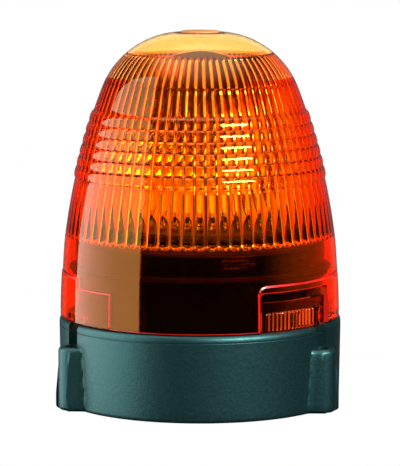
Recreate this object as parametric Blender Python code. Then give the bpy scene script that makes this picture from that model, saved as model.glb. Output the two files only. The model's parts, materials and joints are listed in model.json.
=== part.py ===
"""Rotating amber warning beacon for three-screw fixed mounting.

An upright halogen lamp stands on a fixed column. A parabolic reflector turns around it on a
turntable, driven by a small motor through two pairs of spur gears. The mechanism hangs inside
the drum of a black housing, and an amber lens with a bayonet foot covers everything.

Frame: origin on the spin axis, at the mounting face. +Z points up and -Y is the front.
A bearing is an angle about the spin axis, in degrees from the front, positive towards +X.
"""

import math

import bmesh
import bpy
from mathutils import Matrix, Vector

MM = 0.001
GAP = 0.3 * MM  # clearance kept between pieces that touch
ROUND = 48  # sides of the large turned pieces
SMALL_ROUND = 20  # sides of screws, pins and posts

# Housing: skirt, shelf, drum and deck in one moulding
SKIRT_FOOT_Z = 0.4 * MM
SKIRT_FOOT_R = 64.3 * MM
SKIRT_INNER_R = 60.7 * MM
RIM_CREASE_Z = 36.0 * MM
RIM_CREASE_R = 64.9 * MM
RIM_TOP_Z = 39.6 * MM
RIM_TOP_R = 64.0 * MM
SHELF_THICKNESS = 3.0 * MM
DRUM_R = 57.2 * MM
DRUM_WALL = 2.5 * MM
DECK_TOP_Z = 74.5 * MM
DECK_THICKNESS = 2.5 * MM
DECK_HOLE_R = 17.0 * MM
SEAL_LEDGE_R = 59.0 * MM
SEAL_LEDGE_Z = 60.0 * MM
SEAL_LEDGE_HEIGHT = 1.7 * MM

# Fixing lugs on the screw circle
LUG_BEARINGS = (60, 180, 300)
SCREW_CIRCLE_R = 65.0 * MM
LUG_NOSE_R = 6.4 * MM
LUG_TOP_Z = 30.0 * MM
LUG_FOOT_HALF_WIDTH = 11.0 * MM
LUG_HOLE_R = 3.3 * MM
CHANNEL_WIDTH = 8.0 * MM
CHANNEL_FLOOR_R = 59.8 * MM
POCKET_WALL = 2.2 * MM
POCKET_BOTTOM_Z = 6.0 * MM

# Lens: a long flank arc and a shoulder arc, tangent to each other
LENS_FOOT_Z = RIM_TOP_Z + GAP
LENS_FOOT_R = 64.3 * MM
FLANK_ARC_R = 290.0 * MM
SHOULDER_Z = 144.0 * MM
LENS_TOP_Z = 169.5 * MM
GATE_PAD_R = 9.0 * MM
GATE_PAD_Z = 170.0 * MM
LENS_WALL = 2.6 * MM

# Latch in the lens foot, and the bayonet
LATCH_BEARING = 47.0
LATCH_HALF_ANGLE = 19.6
LATCH_RIBS = 15
LATCH_PAD_END = 57.8
LATCH_TONGUE_END = 63.0
LATCH_PAD_TOP_Z = 48.5 * MM
LATCH_WINDOW_TOP_Z = 57.2 * MM
LATCH_TOP_Z = 53.1 * MM
BAYONET_BEARINGS = (75, 188, 300)
BAYONET_HALF_ANGLE = 7.0
BAYONET_MEET_R = 59.85 * MM

# Bottom: rubber pad and base plate inside the skirt
BOTTOM_DISC_R = 60.3 * MM
PAD_TOP_Z = 2.3 * MM
PLATE_BOTTOM_Z = PAD_TOP_Z + GAP
PLATE_TOP_Z = 5.1 * MM
PLATE_SCREW_BEARINGS = (0, 120, 240)
PLATE_SCREW_CIRCLE_R = 56.0 * MM
INLET_X, INLET_Y = -26.0 * MM, -8.0 * MM
INLET_HOLE_R = 6.5 * MM

# Mechanism chassis, hung from the deck
CHASSIS_R = 53.5 * MM
CHASSIS_BOTTOM_Z = 56.0 * MM
CHASSIS_TOP_Z = 57.5 * MM
POST_BEARINGS = (60, 150, 285)
POST_CIRCLE_R = 47.5 * MM
POST_R = 3.6 * MM

# Gear train
MODULE = 1.0 * MM
MAIN_TEETH = 44
IDLER_LARGE_TEETH = 30
PINION_TEETH = 12
MAIN_TO_IDLER = MODULE * (MAIN_TEETH + PINION_TEETH) / 2
IDLER_TO_MOTOR = MODULE * (IDLER_LARGE_TEETH + PINION_TEETH) / 2
IDLER_BEARING = 180.0
MOTOR_AXIS_R = 36.0 * MM
LOWER_GEARS_Z = (58.9 * MM, 62.5 * MM)
MAIN_GEAR_Z = (65.0 * MM, 70.0 * MM)
IDLER_AXLE_R = 1.5 * MM
MOTOR_R = 12.0 * MM
MOTOR_BOTTOM_Z = 28.0 * MM

# Lamp column, rotor and lamp
COLUMN_R = 8.0 * MM
COLUMN_BORE_R = 5.0 * MM
COLUMN_TOP_Z = 84.5 * MM
HUB_R = 14.0 * MM
HUB_TOP_Z = 77.0 * MM
TURNTABLE_R = 34.0 * MM
TURNTABLE_Z = (77.3 * MM, 79.8 * MM)
SOCKET_R = 10.0 * MM
LAMP_FLANGE_Z = 96.0 * MM
LAMP_FLANGE_R = 7.25 * MM
FILAMENT_Z = LAMP_FLANGE_Z + 25.0 * MM
LAMP_TIP_Z = FILAMENT_Z + 18.5 * MM
GLASS_R = 4.7 * MM

# Lamp clip
CLIP_Z = LAMP_FLANGE_Z + 0.6 * MM
CLIP_PIVOT_Y = 8.4 * MM
CLIP_ARM_X = 6.4 * MM
CLIP_WIRE_R = 0.45 * MM

# Reflector
FOCAL_LENGTH = 20.0 * MM
REFLECTOR_R = 38.5 * MM
REFLECTOR_LIP_R = 40.0 * MM
REFLECTOR_WALL = 1.6 * MM
REFLECTOR_NOTCH_R = 13.2 * MM
REFLECTOR_BEARING = -14.0


def at(radius, bearing, z=0.0):
    """The point at that radius and bearing about the spin axis."""
    angle = math.radians(bearing)
    return Vector((radius * math.sin(angle), -radius * math.cos(angle), z))


def turn_to(bearing):
    """Turns a shape built facing the front so that it faces the bearing."""
    return Matrix.Rotation(math.radians(bearing), 4, "Z")


# ---------------------------------------------------------------- materials


def material(name, colour, roughness, metallic=0.0):
    made = bpy.data.materials.new(name)
    made.use_nodes = True
    shader = made.node_tree.nodes["Principled BSDF"]
    shader.inputs["Base Color"].default_value = (*colour, 1.0)
    shader.inputs["Roughness"].default_value = roughness
    shader.inputs["Metallic"].default_value = metallic
    return made


def make_materials():
    return {
        "housing": material("housing", (0.018, 0.045, 0.045), 0.5),
        "amber": material("amber", (0.95, 0.28, 0.01), 0.08),
        "rubber": material("rubber", (0.02, 0.02, 0.02), 0.8),
        "zinc_steel": material("zinc_steel", (0.62, 0.62, 0.6), 0.35, 1.0),
        "brass": material("brass", (0.75, 0.55, 0.22), 0.35, 1.0),
        "mirror": material("mirror", (0.92, 0.92, 0.92), 0.05, 1.0),
        "white_acetal": material("white_acetal", (0.82, 0.81, 0.76), 0.4),
        "grey_nylon": material("grey_nylon", (0.35, 0.36, 0.37), 0.45),
        "black_nylon": material("black_nylon", (0.03, 0.03, 0.03), 0.45),
        "quartz": material("quartz", (0.9, 0.93, 0.95), 0.03),
        "tungsten": material("tungsten", (0.3, 0.29, 0.28), 0.5, 1.0),
        "red_wire": material("red_wire", (0.5, 0.02, 0.02), 0.5),
        "black_wire": material("black_wire", (0.02, 0.02, 0.02), 0.5),
    }


# ---------------------------------------------------------------- shape tools


def add_object(name, shape, finish, place=None):
    """Makes an object of a bmesh, moved by the matrix place, with its normals outwards."""
    bmesh.ops.recalc_face_normals(shape, faces=shape.faces)
    mesh = bpy.data.meshes.new(name)
    shape.to_mesh(mesh)
    shape.free()
    mesh.shade_smooth()
    mesh.set_sharp_from_angle(angle=math.radians(32))
    if finish is not None:
        mesh.materials.append(finish)
    made = bpy.data.objects.new(name, mesh)
    bpy.context.scene.collection.objects.link(made)
    if place is not None:
        made.matrix_world = place
    return made


def turned(name, outline, finish=None, sides=ROUND, place=None):
    """A closed outline of (radius, z) points turned about Z. A flat end becomes one face."""
    shape = bmesh.new()
    rings = []
    for before, (radius, z), after in zip(outline[-1:] + outline, outline, outline[1:] + outline[:1]):
        flat = any(point[0] > 1e-9 and abs(point[1] - z) < 1e-9 for point in (before, after))
        if radius > 1e-9:
            angles = [math.tau * (side + 0.25) / sides for side in range(sides)]
            rings.append([shape.verts.new((radius * math.cos(a), radius * math.sin(a), z)) for a in angles])
        else:
            rings.append([] if flat else [shape.verts.new((0, 0, z))])
    for lower, upper in zip(rings, rings[1:] + rings[:1]):
        larger = max(lower, upper, key=len)
        if len(larger) < 3:
            continue
        if not lower or not upper:
            shape.faces.new(larger)
            continue
        for side in range(sides):
            after = (side + 1) % sides
            corners = [lower[side % len(lower)], lower[after % len(lower)]]
            corners += [upper[after % len(upper)], upper[side % len(upper)]]
            shape.faces.new(list(dict.fromkeys(corners)))
    return add_object(name, shape, finish, place)


def cylinder(name, radius, bottom, top, finish=None, centre=(0, 0), sides=SMALL_ROUND):
    place = Matrix.Translation((centre[0], centre[1], 0))
    outline = [(0, bottom), (radius, bottom), (radius, top), (0, top)]
    return turned(name, outline, finish, sides, place)


def ring(name, inner, outer, bottom, top, finish=None, sides=ROUND, centre=(0, 0)):
    place = Matrix.Translation((centre[0], centre[1], 0))
    outline = [(inner, bottom), (outer, bottom), (outer, top), (inner, top)]
    return turned(name, outline, finish, sides, place)


def prism(name, outline, bottom, top, finish=None, place=None):
    """A flat outline of (x, y) points raised from bottom to top."""
    shape = bmesh.new()
    base = shape.faces.new([shape.verts.new((x, y, bottom)) for x, y in outline])
    lifted = bmesh.ops.extrude_face_region(shape, geom=[base])["geom"]
    corners = [element for element in lifted if isinstance(element, bmesh.types.BMVert)]
    bmesh.ops.translate(shape, verts=corners, vec=(0, 0, top - bottom))
    return add_object(name, shape, finish, place)


def block(name, low, high, finish=None, place=None):
    outline = [(low[0], low[1]), (high[0], low[1]), (high[0], high[1]), (low[0], high[1])]
    return prism(name, outline, low[2], high[2], finish, place)


def sector(name, radii, bearings, heights, finish=None, steps=8):
    """A curved block between two radii, two bearings and two heights."""
    turns = [bearings[0] + (bearings[1] - bearings[0]) * step / steps for step in range(steps + 1)]
    outline = [at(radii[0], turn).xy for turn in turns]
    outline += [at(radii[1], turn).xy for turn in reversed(turns)]
    return prism(name, outline, heights[0], heights[1], finish)


def boolean(target, helper, operation):
    """Cuts the helper from the target, or joins it on. The helper is left out of the model."""
    change = target.modifiers.new(helper.name, "BOOLEAN")
    change.operation = operation
    change.solver = "EXACT"
    change.object = helper
    helper.hide_render = True
    helper.display_type = "WIRE"


def cut(target, *helpers):
    for helper in helpers:
        boolean(target, helper, "DIFFERENCE")


def join(target, *helpers):
    for helper in helpers:
        boolean(target, helper, "UNION")


def wire(name, route, radius, finish):
    """A tube along the smooth curve through the route's points."""
    route = [Vector(point) for point in route]
    ends = [2 * route[0] - route[1], *route, 2 * route[-1] - route[-2]]
    steps = 3
    points = []
    for before, start, end, after in zip(ends, ends[1:], ends[2:], ends[3:]):
        for step in range(steps):
            t = step / steps
            pull = (2 * start, end - before, 2 * before - 5 * start + 4 * end - after)
            last = 3 * start - before - 3 * end + after
            points.append((pull[0] + pull[1] * t + pull[2] * t**2 + last * t**3) / 2)
    points.append(route[-1])
    curve = bpy.data.curves.new(name, "CURVE")
    curve.dimensions = "3D"
    curve.bevel_depth = radius
    curve.bevel_resolution = 1
    curve.use_fill_caps = True
    line = curve.splines.new("POLY")
    line.points.add(len(points) - 1)
    for slot, point in zip(line.points, points):
        slot.co = (*point, 1)
    curve.materials.append(finish)
    made = bpy.data.objects.new(name, curve)
    bpy.context.scene.collection.objects.link(made)
    return made


def screw(name, tip, axis, shank_r, length, head_r, head_height, finish, slotted=False):
    """A pan-head screw. The tip is the shank's free end and axis points to the head."""
    outline = [
        (0, 0),
        (0.6 * shank_r, 0),
        (shank_r, 0.8 * shank_r),
        (shank_r, length),
        (head_r, length),
        (0.78 * head_r, length + head_height),
        (0, length + head_height),
    ]
    towards = Vector(axis).to_track_quat("Z", "Y").to_matrix().to_4x4()
    place = Matrix.Translation(tip) @ towards
    made = turned(name, outline, finish, 10, place)
    if not slotted:
        return made
    slot_half, slot_floor = 0.16 * head_r, length + 0.6 * head_height
    slot_top = length + 2 * head_height
    cut(made, block(name + "_slot", (-2 * head_r, -slot_half, slot_floor), (2 * head_r, slot_half, slot_top),
                    None, place))
    return made


# ---------------------------------------------------------------- lens outline


def flank_angle():
    """How far the flank leans in where it meets the shoulder arc."""
    return math.asin((SHOULDER_Z - LENS_FOOT_Z) / FLANK_ARC_R)


def lens_outline(inset, flank_steps, shoulder_steps):
    """Points up one side of the lens, inset from its outer surface, ending on the axis."""
    lean = flank_angle()
    centre_r = LENS_FOOT_R - FLANK_ARC_R
    points = []
    for step in range(flank_steps + 1):
        angle = lean * step / flank_steps
        reach = FLANK_ARC_R - inset
        points.append((centre_r + reach * math.cos(angle), LENS_FOOT_Z + reach * math.sin(angle)))
    shoulder_r = (LENS_TOP_Z - SHOULDER_Z) / (1 - math.sin(lean))
    joint_r = centre_r + FLANK_ARC_R * math.cos(lean)
    middle = (joint_r - shoulder_r * math.cos(lean), LENS_TOP_Z - shoulder_r)
    for step in range(1, shoulder_steps + 1):
        angle = lean + (math.pi / 2 - lean) * step / shoulder_steps
        reach = shoulder_r - inset
        points.append((middle[0] + reach * math.cos(angle), middle[1] + reach * math.sin(angle)))
    return points + [(0.0, LENS_TOP_Z - inset)]


# ---------------------------------------------------------------- housing


def lug_outline(half_width):
    """A lug seen from above, built at the front: a round nose that spreads into the skirt."""
    root_y = -(SKIRT_INNER_R + 1.2 * MM)
    flare = math.atan2(half_width - LUG_NOSE_R, SCREW_CIRCLE_R + root_y)
    steps = 7
    nose = []
    for step in range(steps + 1):
        angle = flare + (math.pi - 2 * flare) * step / steps
        nose.append((LUG_NOSE_R * math.cos(angle), -SCREW_CIRCLE_R - LUG_NOSE_R * math.sin(angle)))
    return [(half_width, root_y), *nose, (-half_width, root_y)]


def lug(name, bearing):
    """A lug that grows wider towards its foot, with its lower and upper edges rounded."""
    rounding = 2.2 * MM
    heights = [
        (SKIRT_FOOT_Z, LUG_FOOT_HALF_WIDTH, 0.84),
        (SKIRT_FOOT_Z + 0.6 * MM, LUG_FOOT_HALF_WIDTH, 0.94),
        (SKIRT_FOOT_Z + rounding, LUG_FOOT_HALF_WIDTH, 1.0),
        (LUG_TOP_Z - rounding, LUG_NOSE_R + 0.4 * MM, 1.0),
        (LUG_TOP_Z - 0.6 * MM, LUG_NOSE_R + 0.3 * MM, 0.93),
        (LUG_TOP_Z, LUG_NOSE_R + 0.2 * MM, 0.80),
    ]
    root = Vector((0, -SKIRT_INNER_R - 1.2 * MM))
    shape = bmesh.new()
    rings = []
    for z, half_width, share in heights:
        outline = [root + (Vector(point) - root) * share for point in lug_outline(half_width)]
        rings.append([shape.verts.new((x, y, z)) for x, y in outline])
    for lower, upper in zip(rings, rings[1:]):
        for side in range(len(lower)):
            after = (side + 1) % len(lower)
            shape.faces.new([lower[side], lower[after], upper[after], upper[side]])
    shape.faces.new(rings[0])
    shape.faces.new(rings[-1])
    return add_object(name, shape, None, turn_to(bearing))


def make_housing(finish):
    shelf_z = RIM_TOP_Z - SHELF_THICKNESS
    drum_inner = DRUM_R - DRUM_WALL
    outline = [
        (SKIRT_INNER_R, SKIRT_FOOT_Z),
        (SKIRT_FOOT_R, SKIRT_FOOT_Z),
        (RIM_CREASE_R, RIM_CREASE_Z),
        (RIM_CREASE_R - 0.3 * MM, RIM_CREASE_Z + 2.2 * MM),
        (RIM_TOP_R, RIM_TOP_Z),
        (DRUM_R, RIM_TOP_Z),
        (DRUM_R, SEAL_LEDGE_Z),
        (SEAL_LEDGE_R, SEAL_LEDGE_Z + 0.4 * MM),
        (SEAL_LEDGE_R, SEAL_LEDGE_Z + SEAL_LEDGE_HEIGHT),
        (DRUM_R, SEAL_LEDGE_Z + SEAL_LEDGE_HEIGHT),
        (DRUM_R, DECK_TOP_Z - 1.2 * MM),
        (DRUM_R - 1.2 * MM, DECK_TOP_Z),
        (DECK_HOLE_R, DECK_TOP_Z),
        (DECK_HOLE_R, DECK_TOP_Z - DECK_THICKNESS),
        (drum_inner, DECK_TOP_Z - DECK_THICKNESS),
        (drum_inner, shelf_z),
        (SKIRT_INNER_R, shelf_z),
    ]
    housing = turned("housing", outline, finish)
    for number, bearing in enumerate(LUG_BEARINGS, 1):
        pocket = block(
            f"pocket_{number}",
            (-CHANNEL_WIDTH / 2 - POCKET_WALL, -SKIRT_INNER_R - 1.0 * MM, POCKET_BOTTOM_Z),
            (CHANNEL_WIDTH / 2 + POCKET_WALL, -CHANNEL_FLOOR_R + POCKET_WALL, shelf_z + 1.0 * MM),
            None,
            turn_to(bearing),
        )
        join(housing, pocket, lug(f"lug_{number}", bearing))
    for number, bearing in enumerate(PLATE_SCREW_BEARINGS, 1):
        centre = at(PLATE_SCREW_CIRCLE_R, bearing)
        join(housing, cylinder(f"plate_post_{number}", 4.0 * MM, PLATE_TOP_Z + GAP, shelf_z + 1.0 * MM, None, centre))
    for number, bearing in enumerate(POST_BEARINGS, 1):
        centre = at(POST_CIRCLE_R, bearing)
        top = DECK_TOP_Z - 1.0 * MM
        join(housing, cylinder(f"chassis_post_{number}", POST_R, CHASSIS_TOP_Z + GAP, top, None, centre))
    for number, bearing in enumerate(BAYONET_BEARINGS, 1):
        span = (bearing - BAYONET_HALF_ANGLE, bearing + BAYONET_HALF_ANGLE)
        hook_r = BAYONET_MEET_R - 0.15 * MM
        join(housing, sector(f"hook_{number}", (DRUM_R - 1.0 * MM, hook_r), span, (44.4 * MM, 47.0 * MM), None, 4))
    for number, bearing in enumerate(LUG_BEARINGS, 1):
        channel = block(
            f"channel_{number}",
            (-CHANNEL_WIDTH / 2, -SCREW_CIRCLE_R - 8.0 * MM, LUG_TOP_Z - 0.8 * MM),
            (CHANNEL_WIDTH / 2, -CHANNEL_FLOOR_R, RIM_TOP_Z + 1.0 * MM),
            None,
            turn_to(bearing),
        )
        centre = at(SCREW_CIRCLE_R, bearing)
        hole = cylinder(f"lug_hole_{number}", LUG_HOLE_R, -1.0 * MM, LUG_TOP_Z + 1.0 * MM, None, centre)
        cut(housing, channel, hole)
    for number, bearing in enumerate(PLATE_SCREW_BEARINGS, 1):
        centre = at(PLATE_SCREW_CIRCLE_R, bearing)
        cut(housing, cylinder(f"plate_pilot_{number}", 1.9 * MM, 3.0 * MM, 18.0 * MM, None, centre, 14))
    for number, bearing in enumerate(POST_BEARINGS, 1):
        centre = at(POST_CIRCLE_R, bearing)
        cut(housing, cylinder(f"chassis_pilot_{number}", 1.7 * MM, 55.0 * MM, 67.0 * MM, None, centre, 14))
    return housing


# ---------------------------------------------------------------- lens and seal


def make_lens(finish):
    outer = lens_outline(0.0, 6, 6)
    inner = lens_outline(LENS_WALL, 5, 5)
    crown = [point for point in outer[:-1] if point[0] > GATE_PAD_R]
    pad = [(GATE_PAD_R, LENS_TOP_Z - 0.05 * MM), (GATE_PAD_R - 0.4 * MM, GATE_PAD_Z), (0.0, GATE_PAD_Z)]
    lens = turned("lens", crown + pad + inner[::-1], finish)
    for number, bearing in enumerate(BAYONET_BEARINGS, 1):
        span = (bearing - BAYONET_HALF_ANGLE, bearing + BAYONET_HALF_ANGLE)
        lug_r = (BAYONET_MEET_R + 0.15 * MM, LENS_FOOT_R - LENS_WALL / 2)
        join(lens, sector(f"lens_lug_{number}", lug_r, span, (41.0 * MM, 43.6 * MM), None, 4))
    span = (LATCH_BEARING - LATCH_HALF_ANGLE, LATCH_BEARING + LATCH_HALF_ANGLE)
    window = (LENS_FOOT_Z - 2.0 * MM, LATCH_WINDOW_TOP_Z)
    cut(lens, sector("latch_window", (58.0 * MM, 68.0 * MM), span, window, None, 8))
    return lens


def set_origin(made, point):
    """Moves the object's origin to the point without moving the object."""
    made.data.transform(Matrix.Translation(-point))
    made.location = point


def make_latch(finish):
    """A curved tongue in the lens foot, rooted at its first end, with a ribbed thumb pad."""
    first, last = LATCH_BEARING - LATCH_HALF_ANGLE + 0.45, LATCH_TONGUE_END
    inner, outer = LENS_FOOT_R - LENS_WALL, LENS_FOOT_R - 0.5 * MM
    bottom = LENS_FOOT_Z + GAP
    latch = sector("lens_latch", (inner, outer), (first, last), (bottom, LATCH_TOP_Z), finish, 8)
    pitch = (LATCH_PAD_END - first) / LATCH_RIBS
    comb = [at(inner + 0.8 * MM, bearing).xy for bearing in (LATCH_PAD_END, (first + LATCH_PAD_END) / 2, first + 0.3)]
    for index in range(LATCH_RIBS):
        start = first + pitch * index
        comb += [at(outer - 0.4 * MM, start + 0.30 * pitch).xy, at(LENS_FOOT_R, start + 0.36 * pitch).xy]
        comb += [at(LENS_FOOT_R, start + 0.80 * pitch).xy, at(outer - 0.4 * MM, start + 0.86 * pitch).xy]
    join(latch, prism("latch_ribs", comb, bottom + 0.3 * MM, LATCH_PAD_TOP_Z))
    set_origin(latch, at(LENS_FOOT_R - LENS_WALL / 2, first))
    return latch


def make_seal(finish):
    bottom = SEAL_LEDGE_Z + SEAL_LEDGE_HEIGHT + GAP
    inner, outer, height = DRUM_R + GAP, 60.1 * MM, 2.6 * MM
    middle_r, middle_z = (inner + outer) / 2, bottom + height / 2
    outline = []
    for step in range(6):
        angle = math.tau * (step + 0.5) / 6
        outline.append((middle_r + (outer - middle_r) * math.cos(angle), middle_z + height / 2 * math.sin(angle)))
    return turned("lens_seal", outline, finish)


# ---------------------------------------------------------------- bottom pieces


def make_bottom(finishes):
    pad = cylinder("mounting_pad", BOTTOM_DISC_R, 0, PAD_TOP_Z, finishes["rubber"], sides=ROUND)
    cut(pad, cylinder("pad_hole", 8.5 * MM, -1.0 * MM, PAD_TOP_Z + 1.0 * MM, None, (INLET_X, INLET_Y)))
    plate = cylinder("base_plate", BOTTOM_DISC_R, PLATE_BOTTOM_Z, PLATE_TOP_Z, finishes["black_nylon"], sides=ROUND)
    cut(plate, cylinder("plate_hole", INLET_HOLE_R, 0, 9.0 * MM, None, (INLET_X, INLET_Y)))
    for number, bearing in enumerate(PLATE_SCREW_BEARINGS, 1):
        centre = at(PLATE_SCREW_CIRCLE_R, bearing)
        head_top = PLATE_BOTTOM_Z + 1.6 * MM
        cut(plate, cylinder(f"plate_screw_hole_{number}", 1.9 * MM, 0, 9.0 * MM, None, centre, 14))
        cut(plate, cylinder(f"plate_screw_sink_{number}", 3.3 * MM, 0, head_top, None, centre, 14))
        tip = Vector((centre.x, centre.y, 16.0 * MM))
        length = tip.z - (head_top - GAP)
        screw(f"plate_screw_{number}", tip, (0, 0, -1), 1.5 * MM, length, 2.9 * MM, 1.1 * MM, finishes["zinc_steel"], True)


def make_inlet(finishes):
    grip = INLET_HOLE_R - GAP
    outline = [
        (3.5 * MM, 0.8 * MM),
        (8.0 * MM, 0.8 * MM),
        (8.0 * MM, PLATE_BOTTOM_Z - GAP),
        (grip, PLATE_BOTTOM_Z - GAP),
        (grip, PLATE_TOP_Z + GAP),
        (7.8 * MM, PLATE_TOP_Z + GAP),
        (7.2 * MM, PLATE_TOP_Z + 1.8 * MM),
        (4.8 * MM, PLATE_TOP_Z + 4.0 * MM),
        (3.5 * MM, PLATE_TOP_Z + 4.0 * MM),
    ]
    turned("cable_grommet", outline, finishes["rubber"], 24, Matrix.Translation((INLET_X, INLET_Y, 0)))


TERMINAL_CENTRE = Vector((4.0 * MM, -10.0 * MM, 0))
TERMINAL_PITCH = 9.0 * MM


def make_terminal_block(finishes):
    half_x, half_y = 14.5 * MM, 6.0 * MM
    bottom, top = PLATE_TOP_Z + GAP, PLATE_TOP_Z + 11.0 * MM
    middle = TERMINAL_CENTRE
    low = (middle.x - half_x, middle.y - half_y, bottom)
    high = (middle.x + half_x, middle.y + half_y, top)
    body = block("terminal_block", low, high, finishes["grey_nylon"])
    for number, index in enumerate((-1, 0, 1), 1):
        x = middle.x + index * TERMINAL_PITCH
        cut(body, cylinder(f"terminal_well_{number}", 2.6 * MM, top - 5.7 * MM, top + 1.0 * MM, None, (x, middle.y)))
        entry_low = (x - 1.9 * MM, middle.y - 9.0 * MM, bottom + 2.0 * MM)
        entry_high = (x + 1.9 * MM, middle.y + 9.0 * MM, bottom + 5.4 * MM)
        cut(body, block(f"terminal_entry_{number}", entry_low, entry_high))
        tip = (x, middle.y, bottom + 3.6 * MM)
        screw(f"terminal_screw_{number}", tip, (0, 0, 1), 1.4 * MM, 3.4 * MM, 2.2 * MM, 1.4 * MM, finishes["brass"], True)


# ---------------------------------------------------------------- chassis and motor


def idler_axis():
    return at(MAIN_TO_IDLER, IDLER_BEARING)


def motor_bearing():
    """Where the motor's axis lies so that its pinion meets the idler gear."""
    a, b, c = MAIN_TO_IDLER, MOTOR_AXIS_R, IDLER_TO_MOTOR
    return IDLER_BEARING + math.degrees(math.acos((a * a + b * b - c * c) / (2 * a * b)))


def motor_axis():
    return at(MOTOR_AXIS_R, motor_bearing())


def make_chassis(finishes):
    steel = finishes["zinc_steel"]
    plate = cylinder("chassis_plate", CHASSIS_R, CHASSIS_BOTTOM_Z, CHASSIS_TOP_Z, steel, sides=36)
    below, above = CHASSIS_BOTTOM_Z - 1.0 * MM, CHASSIS_TOP_Z + 1.0 * MM
    cut(plate, cylinder("column_hole", COLUMN_R + GAP, below, above, None, (0, 0), 24))
    cut(plate, cylinder("motor_boss_hole", 4.2 * MM, below, above, None, motor_axis()))
    cut(plate, cylinder("axle_hole", IDLER_AXLE_R + GAP, below, above, None, idler_axis(), 12))
    for number, bearing in enumerate(POST_BEARINGS, 1):
        centre = at(POST_CIRCLE_R, bearing)
        cut(plate, cylinder(f"post_screw_hole_{number}", 1.8 * MM, below, above, None, centre, 12))
        tip = Vector((centre.x, centre.y, 65.5 * MM))
        length = tip.z - (CHASSIS_BOTTOM_Z - GAP)
        screw(f"chassis_screw_{number}", tip, (0, 0, -1), 1.35 * MM, length, 2.8 * MM, 1.9 * MM, steel)
    for number, side in enumerate((-1, 1), 1):
        centre = motor_axis() + at(8.0 * MM, motor_bearing() + 90 * side)
        cut(plate, cylinder(f"motor_screw_hole_{number}", 1.6 * MM, below, above, None, centre, 12))
        tip = Vector((centre.x, centre.y, CHASSIS_BOTTOM_Z - 2.6 * MM))
        length = CHASSIS_TOP_Z + GAP - tip.z
        screw(f"motor_screw_{number}", tip, (0, 0, 1), 1.2 * MM, length, 2.1 * MM, 0.5 * MM, steel)
    for number, bearing in enumerate((40, 130, 310), 1):
        centre = at(11.6 * MM, bearing)
        cut(plate, cylinder(f"column_screw_hole_{number}", 1.5 * MM, below, above, None, centre, 12))
    return plate


def make_motor(finishes):
    centre = motor_axis()
    can_top = CHASSIS_BOTTOM_Z - GAP
    can_bottom = MOTOR_BOTTOM_Z + 3.0 * MM
    can = turned(
        "motor_can",
        [
            (10.2 * MM, can_bottom),
            (MOTOR_R, can_bottom),
            (MOTOR_R, can_top - 1.0 * MM),
            (MOTOR_R - 1.0 * MM, can_top),
            (3.8 * MM, can_top),
            (3.8 * MM, CHASSIS_TOP_Z - 0.2 * MM),
            (1.35 * MM, CHASSIS_TOP_Z - 0.2 * MM),
            (1.35 * MM, can_top - 1.4 * MM),
            (10.2 * MM, can_top - 1.4 * MM),
        ],
        finishes["zinc_steel"],
        20,
        Matrix.Translation((centre.x, centre.y, 0)),
    )
    for number, side in enumerate((-1, 1), 1):
        hole = centre + at(8.0 * MM, motor_bearing() + 90 * side)
        cut(can, cylinder(f"motor_thread_{number}", 1.5 * MM, can_top - 4.0 * MM, can_top + 1.0 * MM, None, hole, 12))
    turned(
        "motor_end_cap",
        [
            (0, MOTOR_BOTTOM_Z),
            (8.0 * MM, MOTOR_BOTTOM_Z),
            (MOTOR_R - 0.4 * MM, MOTOR_BOTTOM_Z + 1.2 * MM),
            (MOTOR_R - 0.4 * MM, can_bottom - GAP),
            (9.9 * MM, can_bottom - GAP),
            (9.9 * MM, can_bottom + 3.0 * MM),
            (0, can_bottom + 3.0 * MM),
        ],
        finishes["black_nylon"],
        20,
        Matrix.Translation((centre.x, centre.y, 0)),
    )
    armature_bottom, armature_top = can_bottom + 4.2 * MM, can_top - 2.6 * MM
    turned(
        "motor_armature",
        [
            (0, armature_bottom),
            (8.4 * MM, armature_bottom),
            (8.4 * MM, armature_top),
            (1.2 * MM, armature_top),
            (1.2 * MM, LOWER_GEARS_Z[1] + 0.8 * MM),
            (0, LOWER_GEARS_Z[1] + 0.8 * MM),
        ],
        finishes["tungsten"],
        20,
        Matrix.Translation((centre.x, centre.y, 0)),
    )


# ---------------------------------------------------------------- gears


def gear_outline(teeth, first_tooth):
    """An involute spur gear's outline, with the middle of one tooth at the angle first_tooth."""
    pressure = math.radians(20)
    backlash = 0.16 * MM
    pitch_r = MODULE * teeth / 2
    base_r = pitch_r * math.cos(pressure)
    root_r, tip_r = pitch_r - 1.25 * MODULE, pitch_r + 0.85 * MODULE
    half_at_pitch = math.pi / (2 * teeth) - backlash / (2 * pitch_r)
    start_r = max(base_r, root_r + 0.05 * MODULE)

    def half_angle(radius):
        lean = math.acos(min(1.0, base_r / radius))
        return half_at_pitch + (math.tan(pressure) - pressure) - (math.tan(lean) - lean)

    flank = [(root_r, half_angle(start_r))]
    flank += [(radius, half_angle(radius)) for radius in (pitch_r, tip_r)]
    outline = []
    for tooth in range(teeth):
        middle = first_tooth + math.tau * tooth / teeth
        for radius, half in flank:
            outline.append((radius * math.cos(middle - half), radius * math.sin(middle - half)))
        for radius, half in reversed(flank):
            outline.append((radius * math.cos(middle + half), radius * math.sin(middle + half)))
    return outline


def direction(start, end):
    return math.atan2(end.y - start.y, end.x - start.x)


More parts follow.
